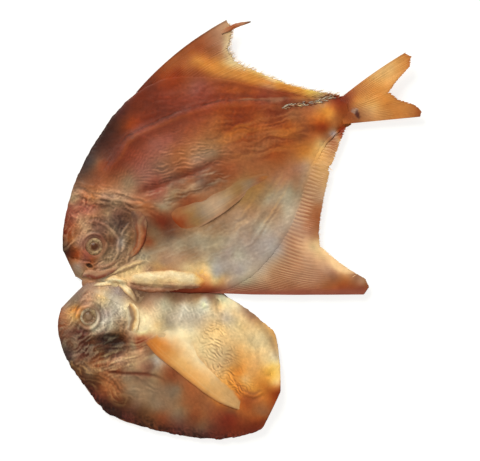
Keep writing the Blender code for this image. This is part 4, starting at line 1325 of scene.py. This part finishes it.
PECTORAL_UPPER = [
    (56.5, 47.5), (62, 50.8), (78, 56.5), (96.5, 63.5), (117.5, 69.8), (128, 72), (133.5, 69.5),
]
PECTORAL_LOWER = [(69.5, 31.5), (80, 34.5), (90, 39.5), (103, 47.5), (112, 54.5), (120, 61.5), (131, 68)]
FLAP_BLADE = [(69, -22.5), (78.5, -25), (88, -35), (99, -49), (109.5, -61), (115.5, -70)]
FLAP_BLADE_REAR = [(54.5, -31), (61.5, -39.5), (71, -47), (81, -55), (98, -67.3), (114, -74)]
pectoral("pectoral_fin", PECTORAL_UPPER, PECTORAL_LOWER, FINNED,
         front_edge=(-1.2, -0.8, -0.8, -0.8, 0.5, 0.7), rear_edge=(-1.4, -0.3, 0.7, 0.9, -0.3, -0.8),
         crown=0.7, painter=pectoral_paint, beside=finned_paint, blend=(0.12, 0.42))
pectoral("flap_pectoral_fin", FLAP_BLADE, FLAP_BLADE_REAR, FLAP,
         front_edge=(0.7, 0.2, -0.5, -0.4, 0, 0.2), rear_edge=(0.8, 1, 1.1, 1, 0.8, 0.6),
         crown=0.9, painter=flap_pectoral_paint, beside=flap_paint, blend=(0.03, 0.25))

# %% [markdown]
# ## The throat and the belly
#
# The halves hang together by the skin of the throat and the belly, which gathered into folds: the jaws of
# both half heads, cream ridges that meet in a Y under them, and one fat fold along the belly. They are one
# crumpled sheet. Each fold is a half-round ridge along its own path, and the sheet is as high as the
# highest fold at each place, which leaves a sharp crease wherever two of them meet.

# %% Folds
FOLDS = [
    # path, half widths, rise, and the paints from the right foot over the crest to the left foot: the folds'
    # own creams and browns, with painted shade towards the feet, darkest on the belly fold's lower side, and
    # painted highlight over the crests
    ([(14.5, 9), (19, 10.2), (26, 9.5), (34, 12), (42, 15.5)],
     (1.6, 3.4, 2.8, 2, 0.6), 2.2, ("cocoa", "mauve", "rose", "rose", "cocoa")),
    ([(20, 14.5), (26, 14), (34, 16.5), (42, 20.5)],
     (0.6, 1.6, 1.6, 0.6), 1, ("walnut", "cocoa", "clay", "clay", "umber")),
    ([(27, 6.5), (34, 10.2), (43, 14.2), (51, 17.2), (59, 18.6)],
     (0.5, 1.4, 2.2, 2, 0.6), 1.4, ("moss", "sand", "bone", "sand", "khaki")),
    ([(22, 2.6), (29, 4.2), (36, 6.2), (40.5, 4.4), (44.5, 0.4), (48.5, -5.5), (51, -10)],
     (0.8, 2.2, 3.4, 3.2, 2.8, 1.8, 0.6), 2.2, ("clay", "bone", "cream", "bone", "khaki")),
    ([(16.5, 1), (22, 0.4), (29, -1.4), (36.5, -4.6), (44, -9.5), (48, -15)],
     (1, 2.8, 3.8, 4, 3.2, 1), 1, ("silver", "pearl", "pearl", "silver", "umber")),
    ([(45.5, 6.2), (52, 5.2), (62, 5), (75, 5.3), (86, 4.7), (93.5, 3.9)],
     (4.4, 6.8, 7.4, 7.3, 6.3, 2.6), 2.9, ("cocoa", "rose", "bone", "cream", "bone")),
]
UPPER_MARGIN = [(15.5, 5), (17, 12), (24, 19), (36, 23), (50, 23), (64, 21), (80, 19), (92, 15), (101, 8)]
LOWER_MARGIN = [
    (15.5, 4), (17.5, -2.5), (24, -4.5), (33, -8.5), (42, -14.5), (51, -13), (57, -5), (72, -3), (88, -2),
    (101, 0.5),
]


def folded(x, y, base, paint):
    """The height and the paint of the sheet: the highest fold over the base at each place."""
    height = base.copy()
    for number, (path, widths, rise, paints) in enumerate(FOLDS):
        off, part = from_path(x, y, path, 161)
        width = evenly(widths, part)
        off = off + 0.6 * rough(x, y, 7, 3, number)
        inside = np.clip(1 - (off / width) ** 2, 0, 1)
        fade = window(part, -0.02, 0.05, 0.8, 1)
        body = inside**0.66 * width / max(widths) * (0.3 + 0.7 * fade)
        lines = combed(part * 60, off, 0, 9, 1.1, number)
        ridge = base - 0.4 + body * (rise + 0.14 * lines + 0.2 * crumple(x, y, 6, 2, number))
        wins = (ridge > height) & (inside > 0)
        across = off / width + 0.25 * rough(x, y, 4, 3, number)
        # the colour across the fold, with painted shade at its feet and painted highlight on its crest
        colour = ramp(across, *zip((-1, -0.45, 0.05, 0.6, 1), paints))
        colour = grained(colour, lines, "pearl", "cocoa", 0.2)
        edge = (smoothstep(0, 1.1, ridge - height) * (0.15 + 0.85 * fade) * wins)[..., None]
        paint = paint * (1 - edge) + colour * edge
        height = np.where(wins, ridge, height)
    return height, paint


FOLD_ROWS, FOLD_COLUMNS = 361, 161
plan, x, y, u, v = between(UPPER_MARGIN, LOWER_MARGIN, FOLD_ROWS, FOLD_COLUMNS)
join = by_rank(JOIN[:6], np.linspace(0, 1, FOLD_ROWS))
on_flap = smoothstep(-1.5, 1.5, np.interp(x, join[:, 0], join[:, 1]) - y)
base = FINNED.at(x, y) * (1 - on_flap) + FLAP.at(x, y) * on_flap
base = base + 0.25 * crumple(x, y, 5, 3, 6)
edge = np.minimum(np.minimum(u, 1 - u) * 90, np.minimum(v, 1 - v) * 24)
base = base - 0.1 - 1.2 * (1 - smoothstep(0, 4, edge))
paint = finned_paint(x, y) * (1 - on_flap[..., None]) + flap_paint(x, y) * on_flap[..., None]
top, paint = folded(x, y, base, paint)
top = base + (top - base) * smoothstep(0, 2.5, edge)
paint = touch(paint, patch(x, y, (88.5, 8.5), 3.4, 5, -20), "yellow", 0.45)
paint = touch(paint, patch(x, y, (91.5, 3.2), 3.4, 1.6), "orange", 0.55)
paint = touch(paint, patch(x, y, (49.5, -3.8), 5.5, 3, -20), "khaki", 0.7)
# painted shade: a dark walnut line in the crease under the belly fold
paint = touch(paint, hump(y + 2.9, 1.2) * window(x, 56, 63, 92, 104), "walnut", 0.75)
paint = mottled_with_painted_shade(paint, x, y, top, 0.2)
top = np.maximum(top, 0.8)
foot = np.clip(base - 1.5, 0.15, top - 0.5)
made = shell("throat_and_belly_folds", plan, top, foot, paint, grain_of(plan), oiliness(x, y, 2))
dressed(made, SKIN)

# %% [markdown]
# ## The gill covers
#
# They are thin plates of bone that lifted along their free rims as the skin behind them shrank.

# %% Gill covers
def gill_cover(name, cheek, rim, half, painter, beside, lift):
    """A plate from the cheek (v = 0) to its free rim (v = 1), where it stands off the skin and curls."""
    plan, x, y, u, v = between(cheek, rim, 121, 61, ragged=0.5, layer=9)
    skin = half.at(x, y)
    ends = window(u, 0, 0.2, 0.8, 1)
    bent = v + 0.12 * rough(x, y, 6, 3, 3)
    top = skin - 0.6 + (0.62 * smoothstep(0, 0.3, bent) + lift * smoothstep(0.2, 0.8, bent)) * ends
    bars = 0.25 * hump(bent - 0.88, 0.12) + 0.2 * hump(bent - 0.5, 0.12) - 0.25 * hump(bent - 0.7, 0.1)
    top = top + ends * smoothstep(0.35, 0.6, u) * bars
    top = top + ends * (0.3 * rough(x, y, 4.5, 3, 2) + 0.2 * crumple(x, y * 0.6, 4.6, 2, 4))
    own = (smoothstep(0.15, 0.5, bent) * ends)[..., None]
    paint = beside(x, y) * (1 - own) + painter(u, bent, x, y) * own
    paint = grained(paint, 0.5 * combed(x, y, 84, 6, 1.2, 4), "bone", "walnut", 0.16)
    paint = mottled_with_painted_shade(paint, x, y, top - skin)
    foot = np.minimum(skin - 1.2, top - 0.5)
    made = shell(name, plan, top, foot, paint, grain_of(plan), oiliness(x, y, 5), step=2)
    return dressed(made, BONE)


def gill_paint(u, v, x, y):
    """Smoky, with two rusty bars along the free rim."""
    paint = ramp(
        v, (0, "moss"), (0.22, "olive"), (0.36, "umber"), (0.50, "cocoa"), (0.62, "clay"), (0.76, "copper"),
        (0.88, "cocoa"), (1, "oxblood"),
    )
    shaken = u + 0.06 * rough(x, y, 4, 3)
    paint = touch(paint, 1 - smoothstep(0.30, 0.5, shaken), "taupe", 0.7)
    paint = touch(paint, (1 - smoothstep(0.1, 0.36, shaken)) * (1 - smoothstep(0.5, 0.8, v)), "ash", 0.75)
    return touch(paint, smoothstep(0.7, 1, u), "khaki", 0.7)


def flap_gill_paint(u, v, x, y):
    """Silver, with a bronze bar inside a cream rim."""
    paint = ramp(
        v, (0, "pearl"), (0.3, "pearl"), (0.46, "khaki"), (0.58, "khaki"), (0.70, "tan"), (0.82, "bone"),
        (0.94, "cream"), (1, "bone"),
    )
    return touch(paint, smoothstep(0.8, 1, u), "copper", 0.6)


gill_cover("gill_cover", [(36, 52), (43.5, 44), (45.5, 33), (43, 24.5), (38, 19)],
           [(50, 51.5), (56, 43), (55.5, 32), (51.5, 23.5), (44, 18.5)],
           FINNED, gill_paint, finned_paint, lift=0.5)
gill_cover("flap_gill_cover", [(36, -6), (40, -10.5), (41.5, -17), (40, -25)],
           [(46, -6), (50.5, -11), (51.8, -18), (49.5, -28)],
           FLAP, flap_gill_paint, flap_paint, lift=0.6)

# %% [markdown]
# ## The eyes
#
# A dried eye is a sunken lens in a ring of hardened skin. It is turned about its own axis like work on a
# lathe: a profile of height against radius, with some unevenness round it.

# %% Eyes
def eye(name, centre, half, rings, bright, dim):
    """A lens and its rings: the height at a radius r is a low dome, a furrow and two raised rings.

    rings are the paints by radius, bright is the direction, in degrees, where the ring is pale as a painted
    highlight, and dim is the paint of the painted shade on the opposite side.
    """
    turns, steps = 96, 48
    circle = np.arange(turns) * 2 * np.pi / turns
    turn, r = np.meshgrid(circle, np.linspace(0, 1, steps + 1)[1:], indexing="ij")
    wobble = 0.06 * np.sin(2 * turn + 0.6) + 0.09 * noise(np.cos(turn) * 9, np.sin(turn) * 9, 5)
    radius = 7.4 * r * (1 + wobble * r)
    x, y = centre[0] + radius * np.cos(turn), centre[1] + radius * np.sin(turn)
    level = half.at(centre[0] + 8 * np.cos(circle), centre[1] + 8 * np.sin(circle)).mean()
    height = -0.7 + 0.5 * hump(radius, 2) - 0.25 * hump(radius - 2.9, 0.8)
    height = height + 0.5 * np.exp(-((radius - 4.3) / 1.1) ** 4) - 0.3 * hump(radius - 5.8, 0.5)
    height = height - 1.6 * smoothstep(6.2, 7.4, radius)
    uneven = 0.4 * rough(x, y, 3.8, 4, 4) * smoothstep(1, 4, radius)
    top = np.minimum(level + height + uneven, CEILING)
    paint = ramp(radius * (1 - 0.5 * wobble), *rings)
    # painted highlight on the ring towards bright, and painted shade on the side away from it
    away = 0.5 - 0.5 * np.cos(turn - np.radians(bright))
    paint = touch(paint, away**1.5 * smoothstep(3.4, 4.2, radius), dim, 0.75)
    paint = grained(paint, rough(x, y, 3.6, 4, 1) * smoothstep(1.6, 3.6, radius), "bone", "umber", 0.3)
    paint = mottled_with_painted_shade(paint, x, y, 2 * uneven, 0.4)
    upper = np.dstack([x, y, top]).reshape(-1, 3)
    skirt = np.dstack([x, y, np.full_like(x, level - 2.4)])[:, -1]
    crown = np.array([[*centre, level], [*centre, level - 2.4]])
    ring, following = np.arange(turns), (np.arange(turns) + 1) % turns
    first = (ring[:, None] * steps + np.arange(steps - 1)).ravel()
    second = (following[:, None] * steps + np.arange(steps - 1)).ravel()
    faces = np.column_stack([first, first + 1, second + 1, second])
    last, count = steps - 1, len(upper)
    wall = np.column_stack([ring * steps + last, following * steps + last, count + following, count + ring])
    pole = np.column_stack([ring * steps, following * steps, np.full(turns, count + turns)])
    foot = np.column_stack([count + ring, count + following, np.full(turns, count + turns + 1)])
    colours = np.vstack([paint.reshape(-1, 3), paint[:, -1], paint[0, 0], paint[0, 0]])
    oil = np.concatenate([(1 - 0.8 * smoothstep(2.5, 4.5, radius)).ravel(), np.zeros(turns + 2)])
    places = np.vstack([upper, skirt, crown])
    made = mesh_of(name, places, [faces, wall, pole, foot], colours, oil)
    return dressed(made, EYEBALL)


EYE_RINGS = [
    (0, "walnut"), (1.6, "walnut"), (2.4, "umber"), (3, "moss"), (3.6, "olive"), (4.2, "khaki"),
    (4.7, "olive"), (5.4, "umber"), (6, "walnut"), (6.8, "maroon"), (7.4, "copper"),
]
FLAP_EYE_RINGS = [
    (0, "olive"), (1.2, "olive"), (2.2, "moss"), (3, "moss"), (3.6, "olive"), (4.2, "silver"),
    (4.9, "silver"), (5.6, "olive"), (6.4, "khaki"), (7.4, "khaki"),
]
eye("eye", EYE, FINNED, EYE_RINGS, bright=85, dim="walnut")
eye("flap_eye", FLAP_EYE, FLAP, FLAP_EYE_RINGS, bright=210, dim="moss")

# %% [markdown]
# ## Scutes, and the broken ray
#
# Before the tail the lateral line carries a keel of small bony scutes. They dried pale and lifted, with
# dark gaps between. The first dorsal ray broke near its tip, and its splinter stands off the fin.

# %% Scutes
KEEL = [(140, 112), (147, 114), (154, 114.5), (160, 115.5), (166, 117.5), (171, 119)]


def scutes(name, count, seed):
    """Overlapping plates along the keel, each a leaf: w(1 - |2p - 1|^2.4) wide at a share p of its length."""
    chance = np.random.default_rng(seed)
    places, faces, colours = [], [], []
    rows, columns = 11, 9
    p, w = np.meshgrid(np.linspace(0, 1, rows), np.linspace(-1, 1, columns), indexing="ij")
    side_size, upper = rows * columns, quads(rows, columns)
    ring = border(rows, columns) @ (columns, 1)
    following = np.roll(ring, -1)
    wall = np.column_stack([ring, following, following + side_size, ring + side_size])
    for number in range(count):
        share = (number + 0.5) / count
        here, there = along(KEEL, np.array([share, min(share + 0.02, 1)]))
        chain = (-1) ** number
        turn = np.arctan2(*(there - here)[::-1]) + chain * 0.35 + chance.normal(0, 0.2)
        run, side = np.array([np.cos(turn), np.sin(turn)]), np.array([-np.sin(turn), np.cos(turn)])
        length, width = chance.uniform(2.4, 4.4), chance.uniform(0.30, 0.55)
        across = width * (1.05 - np.abs(2 * p - 1) ** 2.4) * w + chain * chance.uniform(0.1, 1)
        plan = here + (p[..., None] - 0.5) * length * run + across[..., None] * side
        top = FINNED.at(plan[..., 0], plan[..., 1]) - 0.1 + 0.3 * (1 - w * w) + p * chance.uniform(0.2, 0.7)
        start = 2 * side_size * number
        faces += [upper + start, upper[:, ::-1] + side_size + start, wall + start]
        base = PAINTS[chance.choice(["pearl", "rose", "pearl", "sand", "lilac", "clay", "bone", "cocoa"])]
        shade = np.clip(1.1 - 0.5 * np.abs(w) - 0.4 * (1 - p), 0.3, 1.2).reshape(-1, 1)
        colours += [base * shade, base * shade * 0.7]
        places += [np.dstack([plan, level]).reshape(-1, 3) for level in (top, top - 0.35)]
    made = mesh_of(name, np.vstack(places), faces, np.vstack(colours), wet=0.3)
    return dressed(made, BONE)


scutes("scutes", count=44, seed=5)


# %% [markdown]
# ### The broken ray
#
# A splinter is a rod with an uneven section, which a curve with a round bevel can't give. So it is made of
# rings of points along a path, closed at both ends.

# %% The broken ray
def splinter(name, path, widths, heights):
    """A flattened rod along a path, its section an ellipse that narrows to both ends."""
    rows, turns = 61, 24
    shares = np.linspace(0, 1, rows)
    middle = along(path, shares)
    run = np.gradient(middle, axis=0)
    side = np.column_stack([-run[:, 1], run[:, 0]]) / np.linalg.norm(run, axis=1, keepdims=True)
    turn = np.linspace(0, 2 * np.pi, turns, endpoint=False)
    width = evenly(widths, shares)[:, None]
    wave = 1 + 0.15 * np.cos(5 * turn[None] + 9 * shares[:, None])
    wave = wave + 0.1 * noise(shares[:, None] * 30, turn * 2, 2)
    plan = middle[:, None] + (width * np.cos(turn) * wave)[..., None] * side[:, None]
    level = np.linspace(*heights, rows)[:, None] + 0.42 * np.sin(turn) * wave * np.sqrt(width / width.max())
    places = np.dstack([plan, level]).reshape(-1, 3)
    i, j = np.meshgrid(np.arange(rows - 1), np.arange(turns), indexing="ij")
    here, beside = (i * turns + j).ravel(), (i * turns + (j + 1) % turns).ravel()
    faces = np.column_stack([here, beside, beside + turns, here + turns])
    caps = [np.arange(turns)[None], (np.arange(turns) + (rows - 1) * turns)[None, ::-1]]
    paint = ramp(np.repeat(shares, turns), (0, "rose"), (0.4, "brick"), (0.75, "clay"), (1, "walnut"))
    made = mesh_of(name, places, [faces, *caps], paint, wet=0.5)
    return dressed(made, BONE)


splinter("broken_ray", [(101.5, 157.5), (110, 161.5), (119.5, 164)], widths=(0.7, 1.5, 1.3, 0.9, 0.4),
         heights=(9.2, 11.2))

# %% [markdown]
# ## The table and the light
#
# The fish lies on a plain pale table. A large soft lamp stands beyond its back, so that each wrinkle has
# a lit side, and a weaker one opposite keeps the shadows open. The view transform is Standard, which
# leaves the paints' own colours alone.

# %% Stage
size = high - low
middle = (low + high) / 2
REACH, TABLE_GREY, TABLE_GLOW = 6.0, 0.34, 0.74
LAMP_COLOUR, ROOM_COLOUR, ROOM_STRENGTH = (1.0, 0.985, 0.88), (1.0, 0.99, 0.91, 1.0), 0.40
corners = [(-REACH, -REACH), (REACH, -REACH), (REACH, REACH), (-REACH, REACH)]
floor = bpy.data.meshes.new("table")
floor.from_pydata([(x, y, low.z) for x, y in corners], [], [(0, 1, 2, 3)])
table = bpy.data.objects.new("table", floor)
bpy.context.scene.collection.objects.link(table)
plain = bpy.data.materials.new("table white")
plain.use_nodes = True
white = plain.node_tree.nodes["Principled BSDF"].inputs
white["Base Color"].default_value = (TABLE_GREY, TABLE_GREY, TABLE_GREY, 1.0)
white["Roughness"].default_value = 0.9
white["Emission Color"].default_value = (1.0, 1.0, 1.0, 1.0)
white["Emission Strength"].default_value = TABLE_GLOW
floor.materials.append(plain)


def lamp(name, place, width, power):
    """A square area lamp that faces the middle of the fish."""
    light = bpy.data.lights.new(name, "AREA")
    light.size, light.energy, light.color = width, power, LAMP_COLOUR
    made = bpy.data.objects.new(name, light)
    made.location = middle + Vector(place)
    made.rotation_euler = (-Vector(place)).to_track_quat("-Z", "Y").to_euler()
    bpy.context.scene.collection.objects.link(made)


lamp("window", (-0.55, 0.85, 0.95), width=0.7, power=18.5)
lamp("bounce", (0.7, -0.8, 1.1), width=1.2, power=5.0)
world = bpy.data.worlds.new("studio")
world.use_nodes = True
room = world.node_tree.nodes["Background"].inputs
room["Color"].default_value, room["Strength"].default_value = ROOM_COLOUR, ROOM_STRENGTH
bpy.context.scene.world = world
bpy.context.scene.view_settings.view_transform = "Standard"

# %% [markdown]
# ## The camera
#
# It looks straight down through a long lens from far away, which shows the fish nearly as its plan is
# drawn. An orthographic camera would do too, but it would lose what little depth the head has.

# %% Camera
IMAGE_WIDTH, IMAGE_HEIGHT = 480, 461
MARGIN_SHARE = 1.09
camera = bpy.data.cameras.new("camera")
camera.lens, camera.sensor_width = 110.0, 36.0
view_height = size.y * MARGIN_SHARE
distance = view_height * IMAGE_WIDTH / IMAGE_HEIGHT * camera.lens / camera.sensor_width
seat = bpy.data.objects.new("camera", camera)
seat.location = (middle.x, middle.y, high.z + distance)
bpy.context.scene.collection.objects.link(seat)
bpy.context.scene.camera = seat
print("camera", round(distance, 3), "m above, seeing", round(view_height, 3), "m")
